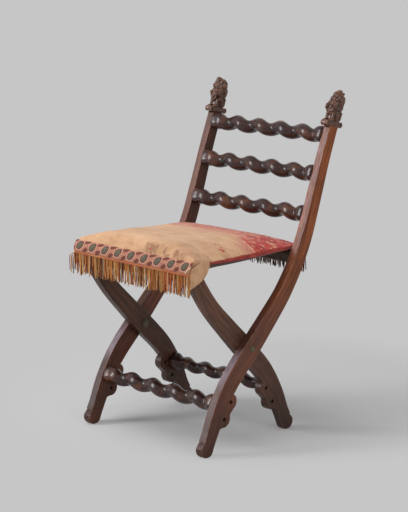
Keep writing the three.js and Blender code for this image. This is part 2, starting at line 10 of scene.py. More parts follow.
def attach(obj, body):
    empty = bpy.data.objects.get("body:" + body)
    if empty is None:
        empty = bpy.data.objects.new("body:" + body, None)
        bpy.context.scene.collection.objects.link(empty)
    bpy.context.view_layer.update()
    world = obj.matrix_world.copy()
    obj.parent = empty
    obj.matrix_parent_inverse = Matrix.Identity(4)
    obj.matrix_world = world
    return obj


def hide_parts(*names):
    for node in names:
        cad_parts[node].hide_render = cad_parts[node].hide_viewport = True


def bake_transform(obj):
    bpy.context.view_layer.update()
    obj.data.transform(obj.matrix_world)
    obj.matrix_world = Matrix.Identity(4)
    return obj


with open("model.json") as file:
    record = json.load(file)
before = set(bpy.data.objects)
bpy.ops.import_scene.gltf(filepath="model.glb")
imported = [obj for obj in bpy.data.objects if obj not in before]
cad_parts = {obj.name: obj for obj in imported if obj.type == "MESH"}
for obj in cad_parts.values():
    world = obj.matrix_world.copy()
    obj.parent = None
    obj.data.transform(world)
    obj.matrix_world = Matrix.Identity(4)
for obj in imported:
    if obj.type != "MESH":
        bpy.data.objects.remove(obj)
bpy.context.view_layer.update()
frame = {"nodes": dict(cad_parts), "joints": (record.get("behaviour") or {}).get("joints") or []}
nodes = frame["nodes"]

# Sizes are in millimetres. Depth is measured from the pivots' line, and height from the floor.
MM = 0.001
PIVOT = Vector(frame["joints"][0]["pos_m"])
PIVOT_HEIGHT = 239.0
CHAIR_WIDTH = 420.0
BOARD = 21.0
SIDE_CLEARANCE = 1.5
GAP = 0.3
POST_OUTER = CHAIR_WIDTH / 2
POST_INNER = POST_OUTER - BOARD
LEG_OUTER = POST_INNER - SIDE_CLEARANCE
LEG_INNER = LEG_OUTER - BOARD


def linear(r, g, b):
    """A screen colour from 0 to 255 as the scene's linear colour."""
    def one(c):
        c = c / 255
        return c / 12.92 if c <= 0.04045 else ((c + 0.055) / 1.055) ** 2.4
    return (one(r), one(g), one(b), 1.0)


def smooth(x, a, b):
    """Smooth step from 0 at a to 1 at b."""
    t = np.clip((np.asarray(x, float) - a) / (b - a), 0, 1)
    return t * t * (3 - 2 * t)


def unit(rows):
    """Each row at length one."""
    return rows / np.linalg.norm(rows, axis=1)[:, None]


def circle(sides, start=0):
    """Angles that part a circle evenly."""
    return (np.arange(sides) + start) / sides * 2 * math.pi


def to_frame(points):
    """Points in millimetres, as metres in the shared frame."""
    p = np.asarray(points, float) * MM
    return p + np.array([0, PIVOT.y, 0])


class Lumps:
    """Value noise on a seeded lattice, for shapes."""

    def __init__(self, seed, size=32):
        self.table = np.random.default_rng(seed).uniform(-1, 1, (size, size, size))
        self.size = size

    def at(self, points, scale):
        p = np.asarray(points, float) / scale
        i = np.floor(p).astype(int)
        f = p - i
        f = f * f * (3 - 2 * f)
        near = [(1 - f[:, k], f[:, k]) for k in range(3)]
        total = np.zeros(len(p))
        for corner in np.ndindex(2, 2, 2):
            w = near[0][corner[0]] * near[1][corner[1]] * near[2][corner[2]]
            x, y, z = ((i + corner) % self.size).T
            total += w * self.table[x, y, z]
        return total


def add_object(name, data):
    obj = bpy.data.objects.new(name, data)
    bpy.context.scene.collection.objects.link(obj)
    return obj


def read(items, name, kind, wide):
    """One property of all items of a mesh, as rows."""
    values = np.empty(len(items) * wide, kind)
    items.foreach_get(name, values)
    return values.reshape(-1, wide)


def make_mesh(name, points, faces, fields=()):
    """A mesh object from points in millimetres, with named vertex fields for the shaders."""
    mesh = bpy.data.meshes.new(name)
    p = to_frame(points)
    mesh.from_pydata(p.tolist(), [], [tuple(int(i) for i in f) for f in faces])
    for key, value in dict(fields).items():
        value = np.asarray(value, np.float32)
        kind = "FLOAT_VECTOR" if value.ndim == 2 else "FLOAT"
        layer = mesh.attributes.new(key, kind, "POINT")
        layer.data.foreach_set("vector" if value.ndim == 2 else "value", value.ravel())
    mesh.polygons.foreach_set("use_smooth", [True] * len(mesh.polygons))
    mesh.update()
    return add_object(name, mesh)


def paint(obj, material):
    obj.data.materials.clear()
    obj.data.materials.append(material)


def dress(obj, material, body=None, stands_for=()):
    paint(obj, material)
    if stands_for:
        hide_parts(*stands_for)
    if body:
        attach(obj, body)


def grid_faces(rows, cols, closed_cols=False):
    faces = []
    for r in range(rows - 1):
        for c in range(cols if closed_cols else cols - 1):
            c2 = (c + 1) % cols
            faces.append((r * cols + c, r * cols + c2, (r + 1) * cols + c2, (r + 1) * cols + c))
    return faces


def closed_faces(rows, cols):
    """Faces of rings joined into a tube with both ends closed."""
    faces = grid_faces(rows, cols, closed_cols=True)
    faces.append(tuple(range(cols))[::-1])
    faces.append(tuple(range((rows - 1) * cols, rows * cols)))
    return faces


# Node materials

class Graph:
    """Node tree of a material or a world. A colour of three numbers is a screen colour."""

    def __init__(self, name, owner=None):
        self.owner = owner or bpy.data.materials.new(name)
        self.owner.use_nodes = True
        self.tree = self.owner.node_tree
        self.tree.nodes.clear()
        self.colour = None

    def set(self, socket, value):
        if isinstance(value, bpy.types.NodeSocket):
            self.tree.links.new(value, socket)
        elif socket.type == "RGBA" and len(value) == 3:
            socket.default_value = linear(*value)
        else:
            socket.default_value = value

    def new(self, kind, *fed, inputs=(), **settings):
        """A node with its settings, then its first inputs in order, then inputs by name or number."""
        node = self.tree.nodes.new("ShaderNode" + kind)
        for key, value in settings.items():
            setattr(node, key, value)
        for key, value in [*enumerate(fed), *dict(inputs).items()]:
            self.set(node.inputs[key], value)
        return node

    def node(self, *args, **settings):
        return self.new(*args, **settings).outputs[0]

    def field(self, name):
        return self.new("Attribute", attribute_name=name).outputs["Vector"]

    def value(self, name):
        return self.new("Attribute", attribute_name=name).outputs["Fac"]

    def place(self):
        return self.new("TexCoord").outputs["Object"]

    def split(self, vector):
        return tuple(self.new("SeparateXYZ", vector).outputs)

    def noise(self, vector, scale=1.0, detail=3.0, rough=0.55, twist=0.0):
        return self.node("TexNoise", inputs={
            "Vector": vector, "Scale": scale, "Detail": detail, "Roughness": rough, "Distortion": twist,
        })

    def grain(self, vector, scale, detail, rough, twist=0.0, shift=(0, 0, 0)):
        """Noise that is stretched by a scale along each axis."""
        moved = self.node("Mapping", vector, inputs={"Scale": scale, "Location": shift})
        return self.noise(moved, 1, detail, rough, twist)

    def math(self, operation, *values):
        return self.node("Math", *values, operation=operation)

    def times(self, a, b):
        return self.math("MULTIPLY", a, b)

    def plus(self, a, b):
        return self.math("ADD", a, b)

    def less(self, a, b):
        return self.math("SUBTRACT", a, b)

    def line(self, a, slope, start):
        return self.math("MULTIPLY_ADD", a, slope, start)

    def step(self, value, low, high, to_low=0.0, to_high=1.0):
        """Smooth step from one value at low to another at high."""
        return self.node("MapRange", value, low, high, to_low, to_high, interpolation_type="SMOOTHSTEP")

    def ramp(self, value, stops):
        node = self.new("ValToRGB", value)
        elements = node.color_ramp.elements
        elements.remove(elements[-1])
        elements[0].position = stops[0][0]
        for at, _ in stops[1:]:
            elements.new(at)
        for element, (_, colour) in zip(elements, stops):
            element.color = linear(*colour)
        return node.outputs[0]

    def mix(self, share, a, b):
        return self.new("Mix", share, inputs={6: a, 7: b}, data_type="RGBA").outputs[2]

    def over(self, share, colour):
        """Lay a colour over the graph's running colour by a share."""
        self.colour = self.mix(share, self.colour, colour)

    def bump(self, height, strength, depth, base=None):
        inputs = {"Height": height, "Strength": strength, "Distance": depth}
        return self.node("Bump", inputs=inputs if base is None else inputs | {"Normal": base})

    def show(self, kind, shader):
        self.set(self.tree.nodes.new("ShaderNodeOutput" + kind).inputs[0], shader)

    def finish(self, rough, normal, **fixed):
        fixed = {key.replace("_", " "): value for key, value in fixed.items()}
        inputs = {"Roughness": rough, "Normal": normal} | fixed
        shader = self.node("BsdfPrincipled", self.colour, inputs=inputs)
        self.show("Material", shader)
        return self.owner


def board_wood(name, dark, mid, light, foot_mid, edge):
    """Waxed walnut: grain runs along the board's course, with worn edges and front faces paled by a painted
    sheen.
    """
    g = Graph(name)
    grain = g.field("grain")
    across, along, through = g.split(g.field("place"))
    wide = g.grain(grain, (150, 5, 150), 4, 0.6, 0.6)
    streak = g.grain(grain, (520, 14, 520), 5, 0.65, shift=(3, 1, 2))
    pores = g.grain(grain, (2600, 70, 2600), 2, 0.5, shift=(1, 5, 4))
    cloud = g.grain(grain, (16, 7, 16), 3, 0.55, shift=(5, 2, 1))
    figure = g.line(streak, 0.55, g.times(wide, 0.45))
    body = g.ramp(figure, [(0.36, dark), (0.5, mid), (0.64, light)])
    low = g.ramp(figure, [(0.34, dark), (0.5, foot_mid), (0.68, mid)])
    g.colour = g.mix(g.step(along, 0.28, 0.62), low, body)
    g.over(g.step(cloud, 0.48, 0.74, 0, 0.5), dark)
    g.over(g.step(pores, 0.6, 0.72, 0, 0.55), g.mix(0.7, g.colour, (0.01, 0.006, 0.005, 1)))
    # the narrow front and rear faces are darker, dulled by wax and hands, and the corners are worn
    rim = g.math("ABSOLUTE", across)
    # noise that breaks up both the worn corners and the painted sheen
    wear_and_sheen_noise = g.grain(grain, (260, 40, 260), 5, 0.7, shift=(2, 2, 2))
    # the flat faces of the brackets lie past the board's edge and have none of its wear
    flat = g.step(g.math("ABSOLUTE", through), 0.84, 0.93)
    beside = g.times(g.step(along, 0.02, 0.03), g.step(along, 0.215, 0.205))
    bracket = g.times(beside, g.step(across, 0.8, 0.9))
    own = g.less(1.0, g.times(bracket, flat))
    narrow = g.times(own, g.step(rim, 0.93, 0.985))
    deep = g.mix(g.step(along, 0.3, 0.6, 0.4, 0.22), g.colour, g.mix(0.3, dark, (0.014, 0.01, 0.008, 1)))
    g.over(narrow, deep)
    # painted shade: the narrow faces of the left boards are painted darker
    left = g.step(g.split(g.place())[0], -0.1, 0.1, 0.4, 0.0)
    g.over(g.times(narrow, left), (44, 32, 28))
    # painted shade: faces turned to the sitter, between the boards, are darker in their upper part
    inner = g.times(g.step(through, -0.9, -0.96), g.step(along, 0.45, 0.6, 0.0, 0.72))
    g.over(inner, (44, 34, 31))
    # the feet are darker
    g.over(g.step(along, 0.13, 0.04, 0.0, 0.4), (44, 35, 32))
    # painted sheen: a pale reflection painted on the front faces, growing upwards and weaker on the left
    # boards
    painted_sheen = g.times(g.step(across, -0.95, -0.995), g.step(along, 0.38, 0.98, 0.06, 0.8))
    painted_sheen = g.times(painted_sheen, g.less(1.0, g.times(left, 1.6)))
    g.over(g.times(painted_sheen, g.step(wear_and_sheen_noise, 0.36, 0.64, 0.0, 0.5)), edge)
    # painted reflection: a lavender sheen painted on the front faces of the lower bow
    painted_bow_sheen = g.times(g.step(along, 0.11, 0.17), g.step(along, 0.27, 0.2))
    painted_bow_sheen = g.times(painted_bow_sheen, g.step(across, -0.95, -0.995))
    g.over(g.times(painted_bow_sheen, g.step(wear_and_sheen_noise, 0.3, 0.62, 0.3, 0.8)), (156, 140, 150))
    corner = g.times(g.times(narrow, flat), g.step(wear_and_sheen_noise, 0.4, 0.6, 0.05, 0.75))
    g.over(corner, g.mix(0.5, edge, light))
    rough = g.line(g.grain(grain, (60, 12, 60), 4, 0.6), 0.3, 0.22)
    height = g.line(pores, -0.5, g.times(streak, 0.6))
    scratches = g.grain(grain, (90, 300, 90), 3, 0.8, shift=(7, 1, 3))
    normal = g.bump(scratches, 0.12, 0.001, g.bump(height, 0.35, 0.0006))
    return g.finish(rough, normal, Coat_Weight=0.07, Coat_Roughness=0.22, Specular_IOR_Level=0.22)


def twist_wood():
    g = Graph("twist_walnut")
    grain = g.field("grain")
    valley = g.value("valley")
    streak = g.grain(grain, (18, 240, 240), 4, 0.55, 0.4)
    cloud = g.grain(grain, (34, 34, 34), 3, 0.5)
    g.colour = g.ramp(streak, [(0.3, (38, 22, 22)), (0.52, (54, 31, 28)), (0.72, (72, 43, 34))])
    g.over(g.step(cloud, 0.48, 0.7, 0, 0.75), (98, 58, 36))
    # painted shade in the grooves of the twist
    g.over(g.step(valley, 0.2, 0.95, 0, 0.5), (30, 19, 18))
    rough = g.line(g.grain(grain, (40, 90, 90), 3, 0.5), 0.14, 0.27)
    facets = g.grain(grain, (60, 60, 60), 2, 0.4, shift=(1, 2, 3))
    normal = g.bump(facets, 0.03, 0.001)
    return g.finish(rough, normal, Coat_Weight=0.62, Coat_Roughness=0.18, Specular_IOR_Level=0.14)


def plain_wood():
    g = Graph("planed_wood")
    p = g.place()
    streak = g.grain(p, (14, 520, 520), 5, 0.6, 0.4)
    g.colour = g.ramp(streak, [(0.3, (44, 30, 24)), (0.52, (70, 46, 34)), (0.72, (98, 66, 46))])
    return g.finish(g.step(streak, 0.3, 0.7, 0.75, 0.55), g.bump(streak, 0.4, 0.001))


def carved_wood():
    g = Graph("carved_walnut")
    p = g.place()
    hollow = g.value("hollow")
    patch = g.noise(p, 90, 4, 0.55)
    g.colour = g.ramp(patch, [(0.34, (58, 36, 27)), (0.5, (88, 55, 40)), (0.66, (116, 74, 53))])
    # painted shade in the carving's hollows
    g.over(g.step(hollow, 0.08, 0.7, 0, 0.92), (26, 18, 15))
    # painted highlight on the carving's ridges
    g.over(g.step(hollow, -0.15, -0.8, 0, 0.5), (150, 106, 76))
    rough = g.step(hollow, -0.5, 0.6, 0.22, 0.5)
    normal = g.bump(g.noise(p, 500, 3, 0.6), 0.2, 0.0005)
    return g.finish(rough, normal, Coat_Weight=0.3, Coat_Roughness=0.12, Specular_IOR_Level=0.5)


def pivot_iron():
    g = Graph("forged_iron")
    p = g.place()
    rust = g.noise(p, 300, 4, 0.65)
    g.colour = g.ramp(rust, [(0.35, (84, 88, 74)), (0.5, (104, 98, 78)), (0.65, (112, 76, 52))])
    rough = g.step(rust, 0.35, 0.65, 0.42, 0.85)
    dents = g.noise(p, 420, 2, 0.5)
    return g.finish(rough, g.bump(dents, 0.5, 0.0012), Metallic=0.35)


# Boards

LOWER_BOARD_SHARES = [(0.22, 0.89, 0.71), (0.44, 0.73, 0.82), (0.7, 0.46, 0.93), (1, 0, 1)]
UPPER_BOARD_SHARES = [
    (0.107, 0.19, 0.92), (0.229, 0.395, 0.82), (0.351, 0.546, 0.775), (0.474, 0.66, 0.745),
    (0.637, 0.768, 0.68), (0.841, 0.893, 0.6), (1, 1, 0.58),
]
FOOT_REACH, POST_REACH, POST_HEIGHT, BOARD_WIDTH = 155.0, 293.0, 754.0, 52.0
FOOT_RADIUS, FOOT_WEAR, TOP_CUT_SHARE = 20.5, 0.8, 0.68
LEG_TOP_HEIGHT = 435.5
BRACKET_LOBES, LOBE_RADIUS, BRACKET_HOLE = [(-98, 83), (-75, 122)], 20.5, 4.8
BRACKET_FOOT, BRACKET_TOP, LOBE_VALLEY = 61, 141, (-77.5, 91.5)
REAR_EDGE_FROM, FRONT_EDGE_FROM = 28, 41.5
# length of a post over the length of a leg
LEG_TO_POST = 1.72
BOARD_EASE, HOLE_EASE, EASE_ROWS = 1.3, 0.7, 4
TOE_NOTCH = [(-167.5, 33.4), (-165.5, 35.4), (-163.2, 36.9), (-163.9, 38.6), (-165.4, 39.6)]

course_points = [(-r * FOOT_REACH, h * PIVOT_HEIGHT, w * BOARD_WIDTH) for h, r, w in LOWER_BOARD_SHARES]
course_points += [
    (r * POST_REACH, PIVOT_HEIGHT + h * (POST_HEIGHT - PIVOT_HEIGHT), w * BOARD_WIDTH)
    for h, r, w in UPPER_BOARD_SHARES
]
course_points = np.array(course_points, float)


def course(t):
    """Point (depth, height, width) of the board's centre line, a centripetal Catmull-Rom curve."""
    p = course_points
    n = len(p) - 1
    i = min(int(t * n), n - 1)
    w = t * n - i
    p1, p2 = p[i], p[i + 1]
    p0 = p[i - 1] if i > 0 else 2 * p[0] - p[1]
    p3 = p[i + 2] if i + 2 <= n else 2 * p[n] - p[n - 1]
    d0, d1, d2 = (np.sum((b - a) ** 2) ** 0.25 for a, b in ((p0, p1), (p1, p2), (p2, p3)))
    m1 = ((p1 - p0) / d0 - (p2 - p0) / (d0 + d1) + (p2 - p1) / d1) * d1
    m2 = ((p2 - p1) / d1 - (p3 - p1) / (d1 + d2) + (p3 - p2) / d2) * d1
    w2, w3 = w * w, w * w * w
    return (2 * w3 - 3 * w2 + 1) * p1 + (w3 - 2 * w2 + w) * m1 + (3 * w2 - 2 * w3) * p2 + (w3 - w2) * m2


def course_step(t):
    """A short way along the centre line, as depth and height."""
    return (course(min(t + 1e-4, 1)) - course(max(t - 1e-4, 0)))[:2]


def course_way(t):
    """Unit direction of the centre line."""
    way = course_step(t)
    return way / np.linalg.norm(way)


def edge_point(p, along, share):
    """Point a share of the width behind the centre line."""
    return p[0] + along[1] * p[2] * share, p[1] - along[0] * p[2] * share


def leaned(points, lean, depth, height):
    """Points turned by a lean, then moved to a depth and a height."""
    x, y, z = points.T
    c, s = math.cos(lean), math.sin(lean)
    return np.stack([x, y * c + z * s + depth, -y * s + z * c + height], 1)


def course_at(height):
    """Place along the course at a height, with its point and its lean."""
    low, high = 0.0, 1.0
    for _ in range(40):
        mid = (low + high) / 2
        if course(mid)[1] < height:
            low = mid
        else:
            high = mid
    return low, course(low), math.atan2(*course_step(low))


def arc(centre, radius, start, end, steps):
    a = np.radians(np.linspace(start, end, steps + 1))
    return [(centre[0] + radius * math.cos(t), centre[1] + radius * math.sin(t)) for t in a]


def board_outline(top, steps, round_top):
    """Outline from the toe round the heel, up the rear edge with its bracket and down the front."""
    front, rear, crest = [], [], []
    for i in range(steps + 1):
        t = top * i / steps
        p, along = course(t), course_way(t)
        if i == steps and not round_top:
            cut = math.atan2(*along) * TOP_CUT_SHARE
            along = np.array([math.sin(cut), math.cos(cut)])
        front.append(edge_point(p, along, -0.5))
        rear.append(edge_point(p, along, 0.5))
        if round_top and i == steps:
            lean = math.degrees(math.atan2(*along))
            crest = arc((p[0], p[1]), p[2] / 2, -lean, 180 - lean, 20)[1:-1]
    foot = (-FOOT_REACH, FOOT_RADIUS - FOOT_WEAR)
    worn = math.degrees(math.acos(foot[1] / FOOT_RADIUS))
    heel = arc(foot, FOOT_RADIUS, -90 + worn, -8, 12)
    toe = arc(foot, FOOT_RADIUS, 165, 270 - worn, 14)
    lower, upper = BRACKET_LOBES
    bracket = arc(lower, LOBE_RADIUS, -105, 15, 16) + [LOBE_VALLEY] + arc(upper, LOBE_RADIUS, -55, 62, 16)

    def rear_at(z):
        return tuple(float(np.interp(z, [p[1] for p in rear], [p[k] for p in rear])) for k in (0, 1))

    outline = toe + heel + [p for p in rear if REAR_EDGE_FROM < p[1] < BRACKET_FOOT]
    outline += [rear_at(BRACKET_FOOT)] + bracket + [rear_at(BRACKET_TOP)]
    outline += [p for p in rear if p[1] > BRACKET_TOP + 2] + crest
    return outline + [p for p in front if p[1] > FRONT_EDGE_FROM][::-1] + TOE_NOTCH[::-1]


def make_board(name, top, steps, mirror, x_from, leg):
    """One side board with eased edges, its outline taken from the part's own named sizes."""
    outline = np.array(board_outline(top, steps, leg))
    # each loop has the way into the wood at its points and the width of its eased edge
    step = unit(np.roll(outline, -1, 0) - np.roll(outline, 1, 0))
    loops = [(outline, np.stack([-step[:, 1], step[:, 0]], 1), BOARD_EASE)]
    holes = [np.array(hole, float) for hole in (*BRACKET_LOBES[::-1], (0, PIVOT_HEIGHT))]
    for hole in holes:
        loop = np.array(arc(hole, BRACKET_HOLE, 0, 360 - 360 / 28, 27))
        loops.append((loop, unit(loop - hole), HOLE_EASE))
    flat, edges = [], []
    for loop, inward, ease in loops:
        start, n = len(flat), len(loop)
        flat += [tuple(p) for p in loop + inward * ease]
        edges += [(start + i, start + (i + 1) % n) for i in range(n)]

    def clear_of_holes(p, space):
        return all(np.hypot(*(p - hole)) > BRACKET_HOLE + space for hole in holes)

    inner = []
    for i in range(2, 2 * steps - 1):
        t = top * i / (2 * steps)
        p, along = course(t), course_way(t)
        for share in (-0.3, 0.0, 0.3):
            q = np.array(edge_point(p, along, share))
            if q[1] > 8 and clear_of_holes(q, 3):
                inner.append(tuple(q))
    verts, _, tris, _, _, _ = delaunay_2d_cdt(
        [Vector(p) for p in flat + inner], edges, [list(range(len(outline)))], 1, 1e-4
    )
    verts = np.array([tuple(v) for v in verts])
    keep = [tri for tri in tris if clear_of_holes(verts[list(tri)].mean(0), 0)]
    points, faces = [], []
    for x, flip in ((0.0, True), (BOARD, False)):
        base = len(points)
        points += [(x, v[0], v[1]) for v in verts]
        faces += [tuple(base + i for i in (tri[::-1] if flip else tri)) for tri in keep]
    for k, (loop, inward, ease) in enumerate(loops):
        turns = [math.pi / 2 * j / EASE_ROWS for j in range(EASE_ROWS + 1)]
        profile = [(ease * (1 - math.sin(a)), ease * (1 - math.cos(a))) for a in turns]
        profile += [(inset, BOARD - x) for inset, x in profile[::-1]]
        base, n = len(points), len(loop)
        for inset, x in profile:
            points += [(x, *(q + d * inset)) for q, d in zip(loop, inward)]
        for quad in grid_faces(len(profile), n, closed_cols=True):
            quad = tuple(base + i for i in quad)
            faces.append(quad if k == 0 else quad[::-1])
    points = np.array(points)
    # grain coordinates along the course
    samples = np.array([course(t) for t in np.linspace(0, top, 500)])
    line = samples[:, :2]
    tangent = unit(np.gradient(line, axis=0))
    length = np.concatenate([[0], np.cumsum(np.linalg.norm(np.diff(line, axis=0), axis=1))])
    near = ((points[:, None, 1:] - line[None]) ** 2).sum(2).argmin(1)
    off = points[:, 1:] - line[near]
    across = off[:, 0] * tangent[near][:, 1] - off[:, 1] * tangent[near][:, 0]
    along = length[near] + (off * tangent[near]).sum(1)
    half = samples[near, 2] / 2
    # each board is cut from another stretch of grain
    along_grain = along + 17 * len(name) + (900 if "left" in name else 0)
    grain = np.stack([across, along_grain, points[:, 0]], 1) * MM
    sideways = (points[:, 0] / (BOARD / 2) - 1) * (1 if x_from > 0 else -1)
    full = length[-1] * (LEG_TO_POST if leg else 1)
    place = np.stack([np.clip(across / half, -1, 1), along / full, sideways], 1)
    world = points.copy()
    world[:, 0] += x_from
    world[:, 1] *= -mirror
    if mirror > 0:
        faces = [f[::-1] for f in faces]
    obj = make_mesh(name, world, faces, {"grain": grain, "place": place})
    obj.modifiers.new("weld", "WELD").merge_threshold = 2e-5
    obj.modifiers.new("normals", "WEIGHTED_NORMAL").keep_sharp = True
    return obj


SIDES = ((-1, "left"), (1, "right"))
# the last colour of each is that of the painted sheen on the front faces and of the worn corners
post_material = board_wood(
    "post_walnut", (68, 36, 24), (136, 76, 44), (176, 98, 54), (104, 66, 52), (168, 150, 156),
)
leg_material = board_wood(
    "leg_walnut", (54, 38, 30), (108, 74, 57), (146, 100, 74), (90, 60, 48), (116, 92, 84),
)
leg_top = course_at(LEG_TOP_HEIGHT)[0]
for side, word in SIDES:
    x = POST_INNER if side > 0 else -POST_OUTER
    post = make_board("walnut_post_" + word, top=1.0, steps=110, mirror=-1, x_from=x, leg=False)
    dress(post, post_material, "back_frame", ["post_" + word])
    x = LEG_INNER if side > 0 else -LEG_OUTER
    leg = make_board("walnut_leg_" + word, top=leg_top, steps=70, mirror=1, x_from=x, leg=True)
    dress(leg, leg_material, "leg_frame", ["leg_" + word])


# Barley-twist rails

# radius, throw and pitch of a twist
BACK_TWIST = (16.7, 5.0, 74.5)
REAR_TWIST = (14.6, 4.4, 65.0)
RAIL_BLOCK, BLOCK_POWER, BLOCK_EASE = 42.0, 3.0, (7, 43)
RAIL_RING, RAIL_SIDES = 1.5, 56
# name, height, turn at the start and twist of each rail
rails = [
    ("back_rail_bottom", 541.0, 56, BACK_TWIST), ("back_rail_middle", 638.5, 66, BACK_TWIST),
    ("back_rail_top", 732.0, 81, BACK_TWIST), ("front_stretcher", 120.0, 58, BACK_TWIST),
    ("rear_stretcher", 119.5, 133, REAR_TWIST),
]


def make_rail(node, height, start, twist):
    """A rail whose round section winds about its axis between two square blocks."""
    radius, throw, pitch = twist
    rear = node == "rear_stretcher"
    span = 2 * (LEG_INNER if rear else POST_INNER)
    half = span / 2 - GAP
    rings = int(2 * half / RAIL_RING)
    x = np.linspace(-half, half, rings + 1)
    phase = math.radians(start) + (x + span / 2) / pitch * 2 * math.pi
    from_end = half - np.abs(x)
    ease = smooth(from_end, *BLOCK_EASE)
    strand = np.stack([x, throw * np.cos(phase), throw * np.sin(phase)], 1)
    swing = 2 * math.pi / pitch
    way = unit(np.stack([np.ones_like(x), -swing * strand[:, 2], swing * strand[:, 1]], 1))
    a = circle(RAIL_SIDES, 0.5)
    spoke = np.stack([np.zeros_like(a), np.cos(a), np.sin(a)], 1)
    square = (np.abs(np.cos(a)) ** BLOCK_POWER + np.abs(np.sin(a)) ** BLOCK_POWER) ** (-1 / BLOCK_POWER)
    block_y, block_z = np.cos(a) * square * RAIL_BLOCK / 2, np.sin(a) * square * RAIL_BLOCK / 2
    points, valley = [], []
    for i in range(rings + 1):
        d = unit(spoke - (spoke @ way[i])[:, None] * way[i])
        round_ring = strand[i] + d * radius
        block = np.stack([np.full_like(a, x[i]), block_y, block_z], 1)
        # the block is a little smaller where it meets the board
        end = 1 - 0.03 * (1 - smooth(from_end[i], 0, 1.5))
        ring = block * (1 - ease[i]) * np.array([1, end, end]) + round_ring * ease[i]
        ring[:, 0] = np.clip(ring[:, 0], -half, half)
        points.append(ring)
        # how deep each point lies in the groove, for the painted shade there
        out = np.hypot(ring[:, 1], ring[:, 2])
        valley.append(ease[i] * np.clip((radius - out) / throw, -1, 1))
    points = np.concatenate(points)
    points[:, 1:] += Lumps(int(height)).at(points, 9.0)[:, None] * 0.18
    faces = [f[::-1] for f in closed_faces(rings + 1, RAIL_SIDES)]
    # each rail is cut from another stretch of grain
    grain = (points + np.array([height * 3, 0, 0])) * MM
    _, place, lean = course_at(height)
    sign = -1 if rear else 1
    world = leaned(points, sign * lean, sign * place[0], place[1])
    return make_mesh("twisted_" + node, world, faces, {"grain": grain, "valley": np.concatenate(valley)})


rail_material = twist_wood()
for node, height, start, twist in rails:
    rail = make_rail(node, height, start, twist)
    body = "leg_frame" if node == "rear_stretcher" else "back_frame"
    dress(rail, rail_material, body, [node])

hidden_material = plain_wood()
for node in ("rear_seat_rail", "front_seat_rail"):
    paint(nodes[node], hidden_material)

iron_material = pivot_iron()
for node in ("pivot_pin_left", "pivot_pin_right", "pivot_washer_left", "pivot_washer_right"):
    paint(nodes[node], iron_material)
    nodes[node].data.polygons.foreach_set("use_smooth", [True] * len(nodes[node].data.polygons))
    bevel = nodes[node].modifiers.new("eased", "BEVEL")
    bevel.width = 0.0004
    bevel.segments = 2
    bevel.limit_method = "ANGLE"


# Seated lions, carved in the round: balls and tapering limbs joined into one skin

LION_TURN, SHIELD_TURN, PLINTH = math.radians(51), math.radians(20), (23.0, 46.0, 12.0)
PLINTH_ROLL, PLINTH_ROLL_WIDTH, LION_VOXEL = 7.4, 22.0, 0.8
HOLLOW_DEPTH, HOLLOW_ROUNDS, KNIFE_MARK, CUT_DEPTH = 0.9, 9, 0.24, 0.3
HEAD_PLACE, SHIELD_PLACE, LION_TALL = (5.8, 3.6, 62.5), (3.2, -14.6, 31.8), 0.985


def bend(points, count):
    """Smooth line through a few points, with any further columns eased along."""
    p = np.asarray(points, float)
    n = len(p)
    p = np.vstack([2 * p[0] - p[1], p, 2 * p[-1] - p[-2]])
    u = np.linspace(0, n - 1, count)
    i = np.minimum(u.astype(int), n - 2)
    f = (u - i)[:, None]
    a, b, c, d = p[i], p[i + 1], p[i + 2], p[i + 3]
    square, cube = (2 * a - 5 * b + 4 * c - d) * f ** 2, (3 * b - a - 3 * c + d) * f ** 3
    return 0.5 * (2 * b + (c - a) * f + square + cube)


class Carving:
    """Closed solids that overlap, gathered in one list of points and faces."""

    def __init__(self):
        self.points, self.faces = [], []
        self.origin, self.axes = np.zeros(3), np.eye(3)

    def frame(self, origin, turn, tall=1.0):
        """Later solids are placed from origin with their front turned about the upright."""
        self.origin = np.array(origin, float) * [1, 1, tall]
        c, s = math.cos(turn), math.sin(turn)
        self.axes = np.array([[c, s, 0], [-s, c, 0], [0, 0, tall]])

    def grid(self, rings):
        rings = np.asarray(rings, float)
        rows, cols, _ = rings.shape
        base = len(self.points)
        self.points += list(rings.reshape(-1, 3) @ self.axes + self.origin)
        self.faces += [tuple(base + i for i in f) for f in closed_faces(rows, cols)]

    def ball(self, at, radii, lean=(0, 0, 0)):
        t = np.linspace(0.02, math.pi - 0.02, 15)[:, None]
        a = circle(22)[None]
        shell = np.stack([np.sin(t) * np.cos(a), np.sin(t) * np.sin(a), np.cos(t) + 0 * a], 2)
        turn = np.array(Euler([math.radians(v) for v in lean]).to_matrix())
        self.grid((shell * radii) @ turn.T + np.array(at, float))

    def limb(self, path, sides=12, count=14):
        """A tube through points that each give a place and a radius, with blunt ends."""
        line = bend(path, count)
        centre, radius = line[:, :3], np.maximum(line[:, 3], 0.25)
        way = unit(np.gradient(centre, axis=0))
        ref = np.array([1.0, 0.13, 0.07]) if abs(way[:, 0]).mean() < 0.75 else np.array([0.1, 1.0, 0.2])
        one = unit(np.cross(way, ref))
        two = np.cross(way, one)
        a = circle(sides)
        spoke = one[:, None] * np.cos(a)[None, :, None] + two[:, None] * np.sin(a)[None, :, None]
        rings = centre[:, None] + spoke * radius[:, None, None]
        first = centre[:1, None] - way[:1, None] * radius[0] * 0.7 + spoke[:1] * radius[0] * 0.45
        last = centre[-1:, None] + way[-1:, None] * radius[-1] * 0.7 + spoke[-1:] * radius[-1] * 0.45
        self.grid(np.concatenate([first, rings, last]))


